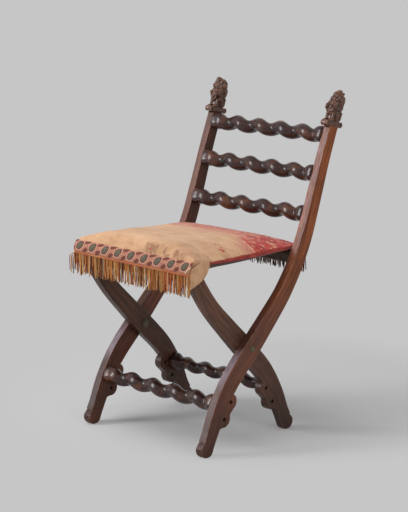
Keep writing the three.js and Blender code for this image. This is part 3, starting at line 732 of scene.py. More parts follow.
def lion_head(c):
    """Head in its own frame: x to its left ear, -y ahead, z up from the middle of the skull."""
    c.ball((0, 0.5, 0), (10.6, 10.8, 12.5))
    # brow, nose, lips and beard
    brow = [(4.3, -10, 5.0, 2.6), (8.2, -5.4, 2.6, 1.7)]
    c.limb([(-x, *rest) for x, *rest in brow[::-1]] + [(0, -9.2, 3.8, 2.4)] + brow, 12, 26)
    c.limb([(0, -8.6, 4.0, 3.1), (0, -11.8, -0.4, 2.8), (0, -13.6, -3.8, 3.4)])
    c.ball((0, -14.8, -3.6), (3.9, 2.1, 2.3))
    c.ball((0, -9.8, -13.2), (4.6, 4.4, 3))
    c.limb([(0, -12, -14, 3), (0.6, -12.2, -17.6, 2.4), (-0.4, -11, -21.4, 0.8)])
    for s in (-1, 1):
        c.ball((s * 4.8, -8.9, 0), (2.4, 2.1, 2.2))
        c.limb([(s * 2.2, -10.4, -0.6, 0.7), (s * 4.9, -11, 1.6, 0.8), (s * 7.6, -8.2, 0, 0.7)], 8)
        c.limb([(s * 2.3, -10.5, -1.1, 0.7), (s * 4.9, -10.6, -2.7, 0.8), (s * 7.4, -8.2, -1.1, 0.7)], 8)
        c.ball((s * 3.3, -11.8, -7.8), (4.3, 4.5, 3.6))
        c.ball((s * 7.8, -5.8, -6), (4.6, 4.8, 7))
        c.limb([(s * 5, -9.8, -11, 1.5), (s * 7.4, -7.2, -14.4, 2), (s * 6.6, -6, -20, 0.8)], 9)
        # round ears that stand in the mane
        c.ball((s * 10.4, -1.6, 9), (3.2, 2.1, 3.8), (0, s * 30, s * -18))
        c.limb([(s * 8.8, -3.6, 6.8, 0.8), (s * 10.6, -3.8, 11.2, 1), (s * 12.6, -2.6, 8.2, 0.8)], 8)
    # mane: a full hood of long locks that part above the brow and flow down and back
    c.ball((0, 5, 0), (13.4, 14.6, 15.6))
    c.ball((0, 9, -9), (12.4, 11, 15))
    # radius of each row of locks, its near and far ends, its thickness and its fall
    rows = [(11.4, -6.6, -3, 2.3, 10), (13.6, -2.6, 4, 2.7, 16), (14.6, 4, 12, 3, 20), (13, 12, 20, 3, 20)]
    for s in (-1, 1):
        for row, (radius, near, far, thick, fall) in enumerate(rows):
            for k in range(6 - row // 2):
                a = math.radians(12 + 27 * k + 9 * (row % 2))
                side, up = math.sin(a), math.cos(a)
                hang = fall * (0.45 + 0.55 * side)
                sway = 1.5 if (k + row) % 2 else -1.1
                top = (radius + 2) * up
                middle = near + (far - near) * 0.4
                c.limb([
                    (s * (radius - 2.6) * side, near, top - 0.4, 1.5),
                    (s * ((radius + 0.6) * side + sway), middle, top - 2 - hang * 0.3, thick),
                    (s * ((radius + 0.9) * side - sway * 0.6), far - 0.5, top - 2 - hang * 0.75, thick * 0.9),
                    (s * ((radius - 0.6) * side + sway), far, top - 2 - hang * 1.15, 0.8),
                ], 10, 18)
    for aside, high in ((-3.8, 14), (0, 16.2), (3.8, 14.2)):
        c.limb([
            (aside * 0.6, -8.4, 8, 1.4), (aside, -7.4, high - 2, 2.4),
            (aside * 1.3, -2.6, high + 0.4, 2.7), (aside * 1.6, 6, high - 2, 1.2),
        ], 10)


def lion_body(c):
    c.limb([(0, 9, 4, 12), (0, 7.8, 20, 14), (0, 5.8, 38, 15), (0.6, 4.8, 54, 12.5)], 28, 26)
    c.ball((1, -3, 42), (13, 11, 14))
    c.ball((0, 0, 13), (7.6, 10, 14))
    c.ball((0, -7.5, 9), (8, 5, 10))
    c.ball((0, -7, 24), (8.6, 6, 7))
    for s in (-1, 1):
        # haunches, with the knees drawn up under the shield
        c.ball((s * 8.6, 9.4, 11.4), (7.4, 10.4, 12.2), (8, 0, 0))
        c.limb([
            (s * 9.2, 7, 14, 6.8), (s * 9.6, -1, 20.4, 5.8), (s * 9.8, -8, 20.4, 5.2),
            (s * 10, -9.4, 12, 4.5), (s * 10, -8.6, 4, 4.3),
        ], 16, 24)
        c.limb([(s * 10.2, -7, 3.4, 4.1), (s * 10.4, -12.4, 3.2, 3.8), (s * 10.4, -15.4, 2.8, 3)])
        for toe in (-1, 0, 1):
            c.ball((s * 10.4 + toe * 2.5, -17.4 + abs(toe) * 0.9, 2.5), (1.6, 2.6, 2.3))
        c.ball((s * 10.6, 0, 44), (5.6, 8, 10))
        # locks that run down the back and flanks
        for k, (aside, behind) in enumerate([(3.0, 21.6), (8.4, 19.8), (12.8, 15.4), (14.6, 9)]):
            sway = 1.2 if k % 2 else -1.2
            c.limb([
                (s * aside, behind - 2.4, 54, 2.2), (s * (aside + sway), behind, 45, 3.0),
                (s * (aside - sway * 0.6), behind - 0.4, 34 + k, 2.7),
                (s * (aside + sway), behind - 1.4, 24 + 2 * k, 0.8),
            ], 10, 18)
        for k in range(3):
            x = s * (4 + 4.6 * k)
            c.limb([
                (x, -11 + k * 2.4, 50, 1.6), (x * 1.08, -13.2 + k * 2.8, 44, 2.7),
                (x * 1.05, -12 + k * 3, 36 - k, 0.7),
            ], 9)
        for k in range(4):
            c.limb([
                (s * (3.5 + 3.6 * k), 19 - 1.1 * k, 27 - k, 1.5),
                (s * (5 + 3.4 * k), 18.6 - 1.8 * k, 19 - k, 2.1),
                (s * (4.2 + 3.4 * k), 17.4 - 2 * k, 9 - k, 0.8),
            ], 9)
    # tail
    c.limb([
        (-6, 17, 3, 2.6), (-10, 17.6, 9, 2.6), (-8, 18.4, 18, 2.5),
        (-4, 19.2, 26, 2.6), (-5, 19, 32, 2.8), (-4, 18.4, 38, 0.9),
    ], 10, 26)


def lion_shield(c):
    """Shield of plain wood, bulged, with a thick rim and leaves that curl forward at the foot."""
    half = [(0, 12.2), (4, 13), (8.6, 11.4), (12.2, 12.6), (12.6, 5), (13, -3), (10.4, -8.6), (5.2, -11.6)]
    half.append((0, -12.8))
    loop = half[:-1] + [(-x, z) for x, z in half[::-1][:-1]]
    rim = bend(loop + loop[:1], 72)[:-1]
    rings = []
    for share, y in ((0.05, 4), (1, 4), (1, 0.8), (0.8, -0.8), (0.5, -2.4), (0.25, -3.2), (0.05, -3.4)):
        rings.append([(x * share, y + 0.014 * x * x * share, z * share) for x, z in rim])
    c.grid(rings)
    path = [(x, 0.2 + 0.014 * x * x, z, 1.3 + 0.7 * float(smooth(-z, -4, 10))) for x, z in rim[::3]]
    c.limb(path + path[:1], 9, 100)
    for k in range(5):
        a = math.radians(-60 + 30 * k)
        x, z = 8.6 * math.sin(a), 0.6 - 8.6 * math.cos(a)
        c.limb([
            (x * 1.25, -0.4, z * 1.12 - 1, 1.3), (x, -3.2, z, 1.8), (x * 0.72, -3.6, z * 0.66 + 1, 1.3),
            (x * 0.66, -2.8, z * 0.4 + 2, 0.6),
        ], 9)


def lion_arms(c):
    """Forelegs from the shoulders to the shield's upper corners."""
    for s in (-1, 1):
        arm = [(11, 12, 10, 6.2), (13, 7, 2, 5.6), (13, 1.6, 1.6, 4.4), (11.6, -1.4, 7.4, 3.7)]
        c.limb([(s * x, *rest) for x, *rest in arm], 14, 20)
        for toe in (-1, 0, 1):
            c.ball((s * 11 + toe * 2.1, -3.2, 9.6 - abs(toe) * 0.9), (1.4, 2.2, 2.8))


def lion_plinth(c):
    """Block with hollowed sides and a rolled scroll at each end."""
    wide, long, thick = PLINTH
    right = [(0.5, -1), (0.5, -0.5), (0.47, -0.35), (0.5, 0)]
    sides = [(-x, z) for x, z in right[::-1]] + right
    c.grid([[(x * wide, y, z * thick) for x, z in sides] for y in np.linspace(-long / 2, long / 2, 9)])
    half = [(0.1, 1), (0.9, 1), (1, 0.93), (1, 0.6), (0.93, 0.45)]
    roll = [(r, -x) for r, x in half] + [(0.9, 0)] + half[::-1]

    def on_roll(end, radius, t):
        return end * long / 2 + radius * math.cos(t), -thick / 2 + radius * math.sin(t)

    for end in (-1, 1):
        c.grid([
            [(x * PLINTH_ROLL_WIDTH / 2, *on_roll(end, r * PLINTH_ROLL, t)) for t in circle(40)]
            for r, x in roll
        ])
        for side in (-1, 1):
            coil = []
            for k in range(22):
                u = k / 21
                t = end * (math.pi / 2 - u * 3.4 * math.pi)
                y, z = on_roll(end, PLINTH_ROLL * (0.86 - 0.74 * u), t)
                coil.append((side * (PLINTH_ROLL_WIDTH / 2 + 0.2), y, z, 1.05 - 0.3 * u))
            c.limb(coil, 8, 90)


def make_lion(side, word):
    c = Carving()
    lion_plinth(c)
    c.frame((0, 0, 0), 0, LION_TALL)
    lion_body(c)
    c.frame(SHIELD_PLACE, SHIELD_TURN, LION_TALL)
    lion_shield(c)
    lion_arms(c)
    c.frame(HEAD_PLACE, LION_TURN, LION_TALL)
    lion_head(c)
    points = np.array(c.points)
    points[:, 0] *= side
    # the carving sits square on the cut top of the post
    _, top, lean = course_at(POST_HEIGHT)
    lean *= TOP_CUT_SHARE
    rise = PLINTH[2] + GAP
    middle = side * (POST_OUTER - BOARD / 2)
    points = leaned(points, lean, top[0], top[1])
    points += [middle, rise * math.sin(lean), rise * math.cos(lean)]
    rough = make_mesh("lion_blank", points, c.faces)
    remesh = rough.modifiers.new("remesh", "REMESH")
    remesh.mode = "VOXEL"
    remesh.voxel_size = LION_VOXEL * MM
    soften = rough.modifiers.new("soften", "SMOOTH")
    soften.factor, soften.iterations = 0.5, 2
    shape = bpy.data.meshes.new_from_object(rough.evaluated_get(bpy.context.evaluated_depsgraph_get()))
    bpy.data.objects.remove(rough)
    count = len(shape.vertices)
    co = read(shape.vertices, "co", np.float32, 3)
    normal = read(shape.vertices, "normal", np.float32, 3)
    a, b = read(shape.edges, "vertices", np.int32, 2).T
    # how far each point lies below its surroundings
    ring = np.bincount(a, minlength=count) + np.bincount(b, minlength=count)
    eased = co.copy()
    for _ in range(HOLLOW_ROUNDS):
        total = np.zeros_like(eased)
        for k in range(3):
            total[:, k] = np.bincount(a, eased[b, k], count) + np.bincount(b, eased[a, k], count)
        eased = total / ring[:, None]
    hollow = ((eased - co) * normal).sum(1) / (HOLLOW_DEPTH * MM)
    # knife marks along the locks, and slightly deeper cuts between forms
    marks = Lumps(51).at(co / MM * [1, 1, 0.45], 1.7) * KNIFE_MARK
    chip = marks - np.clip(hollow, 0, 1) * CUT_DEPTH
    co = co + normal * chip[:, None] * MM
    shape.vertices.foreach_set("co", co.astype(np.float32).ravel())
    # the depth field goes to the material, which paints shade in the hollows and highlights on the ridges
    layer = shape.attributes.new("hollow", "FLOAT", "POINT")
    layer.data.foreach_set("value", np.clip(hollow, -1, 1).astype(np.float32))
    shape.polygons.foreach_set("use_smooth", [True] * len(shape.polygons))
    shape.update()
    shape.name = "carved_lion_" + word
    return add_object(shape.name, shape)


lion_material = carved_wood()
for side, word in SIDES:
    dress(make_lion(side, word), lion_material, "back_frame", ["lion_finial_" + word])


# Padded seat: velvet over a stuffed pad that turns down over a round at the front and at the rear

SEAT_RAIL_TOP, SEAT_RAIL_HEIGHT, ROLL_RADIUS = 457.0, 32.0, 15.0
SEAT_RAIL_REACH = float(course_at(SEAT_RAIL_TOP - SEAT_RAIL_HEIGHT / 2)[1][0])
SEAT_FRONT_WIDTH, SEAT_REAR_WIDTH, SEAT_EDGE_HEIGHT = 404.0, 374.0, 474.0
FRONT_ROUND = (SEAT_RAIL_REACH + 10, SEAT_RAIL_TOP + 4, 23.0)
REAR_ROUND = (SEAT_RAIL_REACH + 14, SEAT_RAIL_TOP - 3, 22.0)
CANVAS_SAG, COVER_GAP, SEAT_HEM = 5.0, 2.2, 455.0
CROWN_HEIGHT, CROWN_FULLNESS = 42.0, 4.6
CROWN_SHARES = [(0, 0.5), (0.06, 0.8), (0.13, 0.8), (0.3, 0.77), (0.52, 0.62), (0.76, 0.55), (1, 0)]
ROLL_HEIGHT = SEAT_RAIL_TOP - ROLL_RADIUS
COVER_ROUND, COVER_TURN = (SEAT_RAIL_REACH, ROLL_HEIGHT, ROLL_RADIUS + COVER_GAP), math.radians(98)
TOP_SPREAD, SIDE_ROUND, SWELL_LIMIT, CLOTH_FRAMES = 0.93, 5.5, 2.2, 20
# place across, reach to the rear and depth of each pucker behind the band
PUCKERS = [
    (-150, 16, 0.7), (-104, 14, 0.6), (-62, 18, 0.8), (-12, 16, 0.8), (28, 20, 1.1),
    (58, 34, 2.4), (84, 20, 1.2), (116, 40, 2.6), (140, 24, 1.4), (168, 36, 2.4),
]


def crown_table():
    """The crown's shares from front to rear, eased into one smooth line."""
    s = np.linspace(-0.1, 1.1, 241)
    line = np.interp(s, [a for a, _ in CROWN_SHARES], [v for _, v in CROWN_SHARES])
    kernel = np.hanning(27)
    kernel /= kernel.sum()
    return s[14:-14], np.convolve(line, kernel, mode="same")[14:-14]


crown_s, crown_v = crown_table()


def droop(x, y):
    """How far the pad has sunk at its rear corners and rear edge."""
    corners = 11 * smooth(-x, 80, 185) + 5.5 * smooth(x, 125, 187)
    return smooth(y, 60, 205) * (corners + 1.7)


def on_round(centre, a):
    """Depth and height at an angle on a round of the seat."""
    reach, height, radius = centre
    return reach + radius * math.cos(a), height + radius * math.sin(a)


def hem_angle(centre):
    return math.asin((SEAT_HEM - centre[1]) / centre[2])


front_low, rear_low, under_low = (hem_angle(centre) for centre in (FRONT_ROUND, REAR_ROUND, COVER_ROUND))


def seat_lines(q):
    """For a place q along the seat's path from front hem (0) to rear hem (3): depth, height and
    crown of the top, and depth and height of the underside."""
    if q < 1:
        a = front_low + (math.pi / 2 - front_low) * q
        y, z = on_round(FRONT_ROUND, a)
        under_y, under_z = on_round(COVER_ROUND, under_low + (COVER_TURN - under_low) * q)
        lift = smooth(a / (math.pi / 2), 0.62, 1.0)
        return -y, z, CROWN_HEIGHT * np.interp(0, crown_s, crown_v) * float(lift), -under_y, under_z
    if q > 2:
        y, z = on_round(REAR_ROUND, math.pi / 2 - (math.pi / 2 - rear_low) * (q - 2))
        return y, z, 0.0, *on_round(COVER_ROUND, COVER_TURN - (COVER_TURN - under_low) * (q - 2))
    s = q - 1
    y = -FRONT_ROUND[0] + (FRONT_ROUND[0] + REAR_ROUND[0]) * s
    end = FRONT_ROUND[1] + FRONT_ROUND[2] if s < 0.5 else REAR_ROUND[1] + REAR_ROUND[2]
    z = SEAT_EDGE_HEIGHT + (end - SEAT_EDGE_HEIGHT) * (2 * s - 1) ** 4
    rise = CROWN_HEIGHT * float(np.interp(s, crown_s, crown_v))
    sag = CANVAS_SAG * (1 - (2 * s - 1) ** 2)
    return y, z, rise, on_round(COVER_ROUND, COVER_TURN)[0] * (2 * s - 1), SEAT_RAIL_TOP + COVER_GAP - sag


def seat_places(steps):
    """Places along the seat's path, with a number of steps for each of its three stretches."""
    return np.concatenate([np.linspace(k, k + 1, steps[k], endpoint=k == 2) for k in range(3)])


def seat_grid(steps, across, side):
    """Closed rings of points round the seat's section across, from front hem to rear hem."""
    a = np.sin(np.linspace(-1, 1, across) * math.pi / 2 * TOP_SPREAD) / math.sin(math.pi / 2 * TOP_SPREAD)
    low = a[::-1]
    fullness = 1 - np.abs(a) ** CROWN_FULLNESS
    t = (np.arange(side) + 1) / (side + 1)
    rings, where = [], []
    for v in seat_places(steps):
        y, z, rise, under_y, under_z = seat_lines(v)
        s = np.clip((y / SEAT_RAIL_REACH + 1) / 2, 0, 1)
        half = (SEAT_FRONT_WIDTH + (SEAT_REAR_WIDTH - SEAT_FRONT_WIDTH) * s) / 2
        x = a * (half - SIDE_ROUND)
        tops = z + rise * fullness - droop(x, y)
        side_x = half - SIDE_ROUND + SIDE_ROUND * np.sin(t * math.pi) ** 0.8
        side_y = y + (under_y - y) * t
        middle = smooth(v, 1.02, 1.2) * smooth(v, 1.98, 1.8)
        lift = 2.4 * float(middle) * (1 - smooth(np.abs(a), 0.99, 0.8))
        unders = np.full_like(a, under_z) + lift[::-1]
        right, left = (tops[k] + (unders[-1 - k] - tops[k]) * t for k in (-1, 0))
        # top, right side, underside and left side: the points, the share across and the share down
        parts = [
            (x, y, tops, a, 0), (side_x, side_y, right, 1, t),
            (low * (half - SIDE_ROUND), under_y, unders, low, 1),
            (-side_x[::-1], side_y[::-1], left[::-1], -1, t[::-1]),
        ]
        rings.append(np.hstack([np.broadcast_arrays(*part[:3]) for part in parts]).T)
        where.append(np.hstack([np.broadcast_arrays(part[3], v, part[4]) for part in parts]).T)
    return np.array(rings, float), np.array(where, float)


def seat_top(x, y):
    """Height of the pad's top at a place, from its section lines."""
    if y < -FRONT_ROUND[0]:
        a = math.acos(min((-y - FRONT_ROUND[0]) / FRONT_ROUND[2], 1.0))
        q = (a - front_low) / (math.pi / 2 - front_low)
    else:
        q = 1 + (y + FRONT_ROUND[0]) / (FRONT_ROUND[0] + REAR_ROUND[0])
    _, z, rise, _, _ = seat_lines(float(np.clip(q, 0, 1.999)))
    half = SEAT_FRONT_WIDTH / 2 - SIDE_ROUND
    fullness = 1 - min(abs(x) / half, 1.0) ** CROWN_FULLNESS
    return z + rise * fullness - float(droop(abs(x), y))


def stuff(rings, cap):
    """Cloth pressure on a coarse skin, with its underside and hems held, as moves of its points."""
    rows, cols, _ = rings.shape
    obj = make_mesh("pad_trial", rings.reshape(-1, 3), closed_faces(rows, cols))
    held = obj.vertex_groups.new(name="held")
    across = (cols - 2 * 6) // 2
    for r in range(rows):
        for c in range(cols):
            on_top = c < across + 2 or c >= cols - 2
            if not on_top or r < 2 or r > rows - 3:
                held.add([r * cols + c], 1.0, "REPLACE")
    cloth = obj.modifiers.new("cloth", "CLOTH")
    cloth.settings.effector_weights.gravity = 0
    for key, value in {
        "use_pressure": True, "uniform_pressure_force": 4.0, "vertex_group_mass": "held", "quality": 5,
        "tension_stiffness": 15, "compression_stiffness": 15, "bending_stiffness": 0.6, "mass": 0.4,
    }.items():
        setattr(cloth.settings, key, value)
    cloth.point_cache.frame_start = 1
    cloth.point_cache.frame_end = CLOTH_FRAMES
    scene = bpy.context.scene
    for f in range(1, CLOTH_FRAMES + 1):
        scene.frame_set(f)
    shape = obj.evaluated_get(bpy.context.evaluated_depsgraph_get()).to_mesh()
    after = read(shape.vertices, "co", np.float32, 3)
    scene.frame_set(1)
    move = (after - to_frame(rings.reshape(-1, 3))) / MM
    size = np.linalg.norm(move, axis=1)
    move *= (cap * np.tanh(size / cap) / np.maximum(size, 1e-6))[:, None]
    bpy.data.objects.remove(obj)
    return move.reshape(rows, cols, 3)


def resample(field, cols, at_rows):
    """Bilinear resampling of a field on coarse rings onto finer ones, ring seam closed."""
    n, m, _ = field.shape
    c = np.arange(cols) / cols * m
    c0 = np.floor(c).astype(int) % m
    c1 = (c0 + 1) % m
    fc = (c - np.floor(c))[None, :, None]
    r0 = np.clip(np.floor(at_rows).astype(int), 0, n - 2)
    fr = (at_rows - r0)[:, None, None]
    top = field[r0][:, c0] * (1 - fc) + field[r0][:, c1] * fc
    bottom = field[r0 + 1][:, c0] * (1 - fc) + field[r0 + 1][:, c1] * fc
    return top * (1 - fr) + bottom * fr


def fine_seat():
    """The seat's rings, swelled by the cloth's moves, with lumps and puckers in the top."""
    rings, where = seat_grid((14, 104, 12), 96, 12)
    coarse_steps = (5, 30, 4)
    coarse, _ = seat_grid(coarse_steps, 24, 3)
    move = stuff(coarse, SWELL_LIMIT)
    coarse_q = seat_places(coarse_steps)
    at_rows = np.interp(where[:, 0, 1], coarse_q, np.arange(len(coarse_q)))
    swell = resample(move, rings.shape[1], at_rows)
    calm = smooth(where[:, :, 1], 1.0, 1.25) * (1 - 0.7 * smooth(np.abs(where[:, :, 0]), 0.75, 0.95))
    rings = rings + swell * calm[:, :, None]
    points = rings.reshape(-1, 3)
    spot = where.reshape(-1, 3)
    on_top = (spot[:, 2] < 0.02) * smooth(spot[:, 1], 0.35, 1.0)
    on_top *= 1 - 0.6 * smooth(np.abs(spot[:, 0]), 0.85, 1.0)
    lumps, fine = Lumps(11), Lumps(12)
    broad = lumps.at(points * [1, 1.25, 1], 58) * 1.5
    points[:, 2] += on_top * (broad + fine.at(points * [1, 1.6, 1], 21) * 0.45)
    # small puckers where the band is sewn on, slanting back across the front edge
    front = smooth(spot[:, 1], 0.25, 0.8) * (spot[:, 2] < 0.02)
    for x, reach, depth in PUCKERS:
        back = points[:, 1] + 190
        line = points[:, 0] - x - back * 0.45
        hollow = np.exp(-((line / 7.0) ** 2)) * np.exp(-np.clip(back, 0, None) ** 2 / reach ** 2)
        points[:, 2] -= front * hollow * depth
        points[:, 1] += front * hollow * depth * 0.3
    return points, spot, len(rings), rings.shape[1]


points, spot, rows, cols = fine_seat()
velvet_seat = make_mesh("velvet_cushion", points, closed_faces(rows, cols), {"spot": spot})


def velvet():
    g = Graph("faded_velvet")
    p = g.place()
    _, q, t = g.split(g.field("spot"))
    x, y, _ = g.split(p)
    back = g.plus(y, -PIVOT.y)
    broad = g.grain(p, (9, 16, 16), 4, 0.6)
    mottle = g.grain(p, (55, 95, 60), 5, 0.65, shift=(4, 2, 0))
    g.colour = g.ramp(
        g.line(broad, 0.6, g.times(mottle, 0.4)),
        [(0.36, (196, 150, 112)), (0.5, (216, 170, 130)), (0.64, (228, 184, 144))],
    )
    # painted shade: brown marks behind the band, in the hollows between its stitches
    marks = g.grain(p, (46, 30, 30), 3, 0.6, shift=(2, 7, 1))
    near = g.times(g.times(g.step(q, 1.06, 0.94), g.step(x, 0.0, 0.06)), g.step(q, 0.55, 0.8))
    g.over(g.times(near, g.step(marks, 0.48, 0.62, 0, 0.7)), (122, 88, 64))
    worn = g.grain(p, (26, 40, 30), 4, 0.6, shift=(5, 2, 1))
    front_right = g.times(g.step(back, -0.08, -0.17), g.step(x, 0.02, 0.1))
    g.over(g.times(front_right, g.step(worn, 0.42, 0.66, 0.15, 0.6)), (176, 130, 96))
    # rose bloom towards the rear, and red pile left at the rear right
    drift = g.grain(p, (16, 34, 10), 5, 0.7, shift=(1, 3, 2))
    right = g.step(x, 0.1, 0.18)
    deep_back = g.line(right, 0.05, back)
    deep_back = g.line(drift, 0.12, g.less(deep_back, 0.06))
    rose = g.step(deep_back, 0.02, 0.075)
    g.over(g.times(rose, 0.86), (202, 124, 108))
    fleck = g.grain(p, (60, 84, 50), 5, 0.72, shift=(2, 4, 2))
    flecks = g.times(g.step(deep_back, 0.03, 0.11), g.step(fleck, 0.46, 0.58, 0, 0.9))
    g.over(flecks, (186, 78, 72))
    pile = g.grain(p, (30, 44, 30), 5, 0.72, shift=(6, 1, 2))
    patch = g.times(g.step(deep_back, 0.03, 0.1), g.step(x, 0.03, 0.15))
    aside = g.math("POWER", g.math("ABSOLUTE", g.less(x, 0.155)), 2.0)
    ahead = g.math("POWER", g.math("ABSOLUTE", g.plus(back, 0.05)), 2.0)
    lone_patch = g.step(g.plus(aside, ahead), 0.0012, 0.0002)
    red = g.line(patch, 0.26, g.line(lone_patch, 0.13, pile))
    crimson = g.ramp(fleck, [(0.36, (138, 22, 28)), (0.5, (186, 36, 40)), (0.64, (214, 84, 72))])
    g.over(g.step(red, 0.66, 0.73, 0, 0.95), crimson)
    pale = g.grain(p, (50, 76, 40), 4, 0.7, shift=(3, 9, 2))
    g.over(g.times(patch, g.step(pale, 0.53, 0.6, 0, 0.8)), (236, 180, 140))
    # scattered faint red threads
    spots = g.grain(p, (62, 90, 40), 4, 0.7, shift=(8, 8, 1))
    g.over(g.step(spots, 0.68, 0.76, 0, 0.55), (190, 108, 92))
    # the sides keep their crimson
    ragged = g.grain(p, (60, 60, 160), 4, 0.7, shift=(1, 1, 1))
    side = g.step(g.line(ragged, 0.5, t), 0.3, 0.42)
    deep = g.ramp(ragged, [(0.35, (112, 34, 32)), (0.5, (152, 44, 42)), (0.66, (184, 72, 60))])
    g.over(side, deep)
    # painted shade low on the sides, reaching higher towards the front
    low_edge = g.line(g.step(back, -0.16, 0.14), 0.5, 0.42)
    painted_side_shade = g.less(g.line(ragged, 0.3, g.less(t, 0.15)), low_edge)
    g.over(g.step(painted_side_shade, 0.0, 0.06), (60, 46, 46))
    # painted shade in the corner flap's crease
    g.over(g.step(q, 3.1, 5.0, 0.0, 0.7), (112, 76, 52))
    weave = g.noise(p, 1600, 2, 0.6)
    nap = g.grain(p, (260, 340, 260), 4, 0.7)
    g.over(g.step(weave, 0.3, 0.7, 0, 0.16), (150, 112, 88))
    normal = g.bump(nap, 0.35, 0.0016, g.bump(weave, 0.45, 0.0007))
    rough = g.step(nap, 0.3, 0.7, 0.95, 0.82)
    return g.finish(rough, normal, Sheen_Weight=0.18, Sheen_Roughness=0.5, Specular_IOR_Level=0.2)


velvet_material = velvet()
dress(velvet_seat, velvet_material, None, ["velvet_seat"])


# Velvet turned down over the ends of the front rail

FLAP_FRONT, FLAP_WIDTH, FLAP_TURN_PLACE, FLAP_TURN, FLAP_THICKNESS = -205.4, 62.0, 191, 12.6, 2.4
FLAP_HEM = [(-206, 419), (-193, 424), (-180, 429), (-169, 434), (-158, 441), (-150, 450), (-144, 464)]


def corner_flap(side, word):
    """Velvet that runs on from the top over the rail's end and hangs there in a rounded corner."""
    rows, cols = 60, 64
    outer, inner, spots, lengths = [], [], [], []
    lumps = Lumps(31 if side > 0 else 32)
    for i in range(rows):
        u = i / (rows - 1)
        y = FLAP_FRONT + FLAP_WIDTH * u
        bottom = float(np.interp(y, *zip(*FLAP_HEM)))
        path = [(x, seat_top(x, y)) for x in np.linspace(168 + 8 * u, FLAP_TURN_PLACE, 12)]
        z_turn = path[-1][1]
        drop = max(min(14.0, z_turn - bottom - 1.5), 1.0)
        for a in np.linspace(0, math.pi / 2, 12)[1:]:
            path.append((FLAP_TURN_PLACE + FLAP_TURN * math.sin(a), z_turn - drop * (1 - math.cos(a))))
        low = z_turn - drop
        for w in np.linspace(0, 1, 14)[1:]:
            swell = 1.8 * math.sin(math.pi * min(w * 1.2, 1.0))
            path.append((FLAP_TURN_PLACE + FLAP_TURN + swell - 1.2 * w, low + (bottom - low) * w))
        path = np.array(path)
        length = np.concatenate([[0], np.cumsum(np.hypot(*np.diff(path, axis=0).T))])
        lengths.append(length[-1])
        at = np.linspace(0, length[-1], cols)
        px, pz = np.interp(at, length, path[:, 0]), np.interp(at, length, path[:, 1])
        tx, tz = np.gradient(px), np.gradient(pz)
        size = np.hypot(tx, tz)
        nx, nz = -tz / size, tx / size
        lift = 0.9 * smooth(at, 0, 14) + 0.15
        for j in range(cols):
            # a crease runs across the flap, with a hump above it
            fold = (pz[j] - (470 + 0.3 * (y + 205))) / 4.0
            crease = math.exp(-fold * fold) * (1 - u) ** 0.7 * float(smooth(nx[j], 0.2, 0.7))
            hump = math.exp(-((fold - 2.2) ** 2)) * (1 - u) * 0.9
            out = lift[j] - 2.3 * crease + hump
            outer.append((px[j] + out * nx[j], y, pz[j] + out * nz[j]))
            back = out - FLAP_THICKNESS * float(smooth(at[j], 0, 20)) - 0.35
            inner.append((px[j] + back * nx[j], y, pz[j] + back * nz[j]))
            # the crease also paints shade into the velvet there
            spots.append((0.86, 1.3 + 4.5 * crease, 0.0))
    outer, inner = np.array(outer), np.array(inner)
    wobble = lumps.at(outer, 16)[:, None] * np.array([0.6, 0.3, 0.2])
    points = np.concatenate([outer + wobble, inner + wobble])
    n = rows * cols
    face = grid_faces(rows, cols)
    faces = [f[::-1] for f in face] + [tuple(n + i for i in f) for f in face]
    rim = list(range(cols)) + [r * cols + cols - 1 for r in range(1, rows)]
    rim += [(rows - 1) * cols + c for c in range(cols - 2, -1, -1)]
    rim += [r * cols for r in range(rows - 2, 0, -1)]
    for a, b in zip(rim, rim[1:] + rim[:1]):
        faces.append((a, b, n + b, n + a))
    points[:, 0] *= side
    if side < 0:
        faces = [f[::-1] for f in faces]
    flap = make_mesh("velvet_corner_" + word, points, faces, {"spot": spots * 2})
    return flap, (FLAP_WIDTH * MM, max(lengths) * MM), sum(lengths) / rows * FLAP_WIDTH * MM * MM


for side, word in SIDES:
    flap, cut, area = corner_flap(side, word)
    dress(flap, velvet_material, "leg_frame")


# Band of ovals round the front of the seat

BAND_THICKNESS, BAND_TURN, BAND_LOW, HEADING_HEIGHT = 1.4, 62.0, 455.0, 452.3
OVAL_PITCH, OVAL_WIDTH, OVAL_HEIGHT, OVAL_LEAN, OVAL_PLACE = 45.6, 19.5, 19.5, 0.3, 0.53


def band_length():
    """Flat height of the band: straight up to the front round, then partly round it."""
    return (FRONT_ROUND[1] - BAND_LOW) + math.radians(BAND_TURN) * (FRONT_ROUND[2] + BAND_THICKNESS)


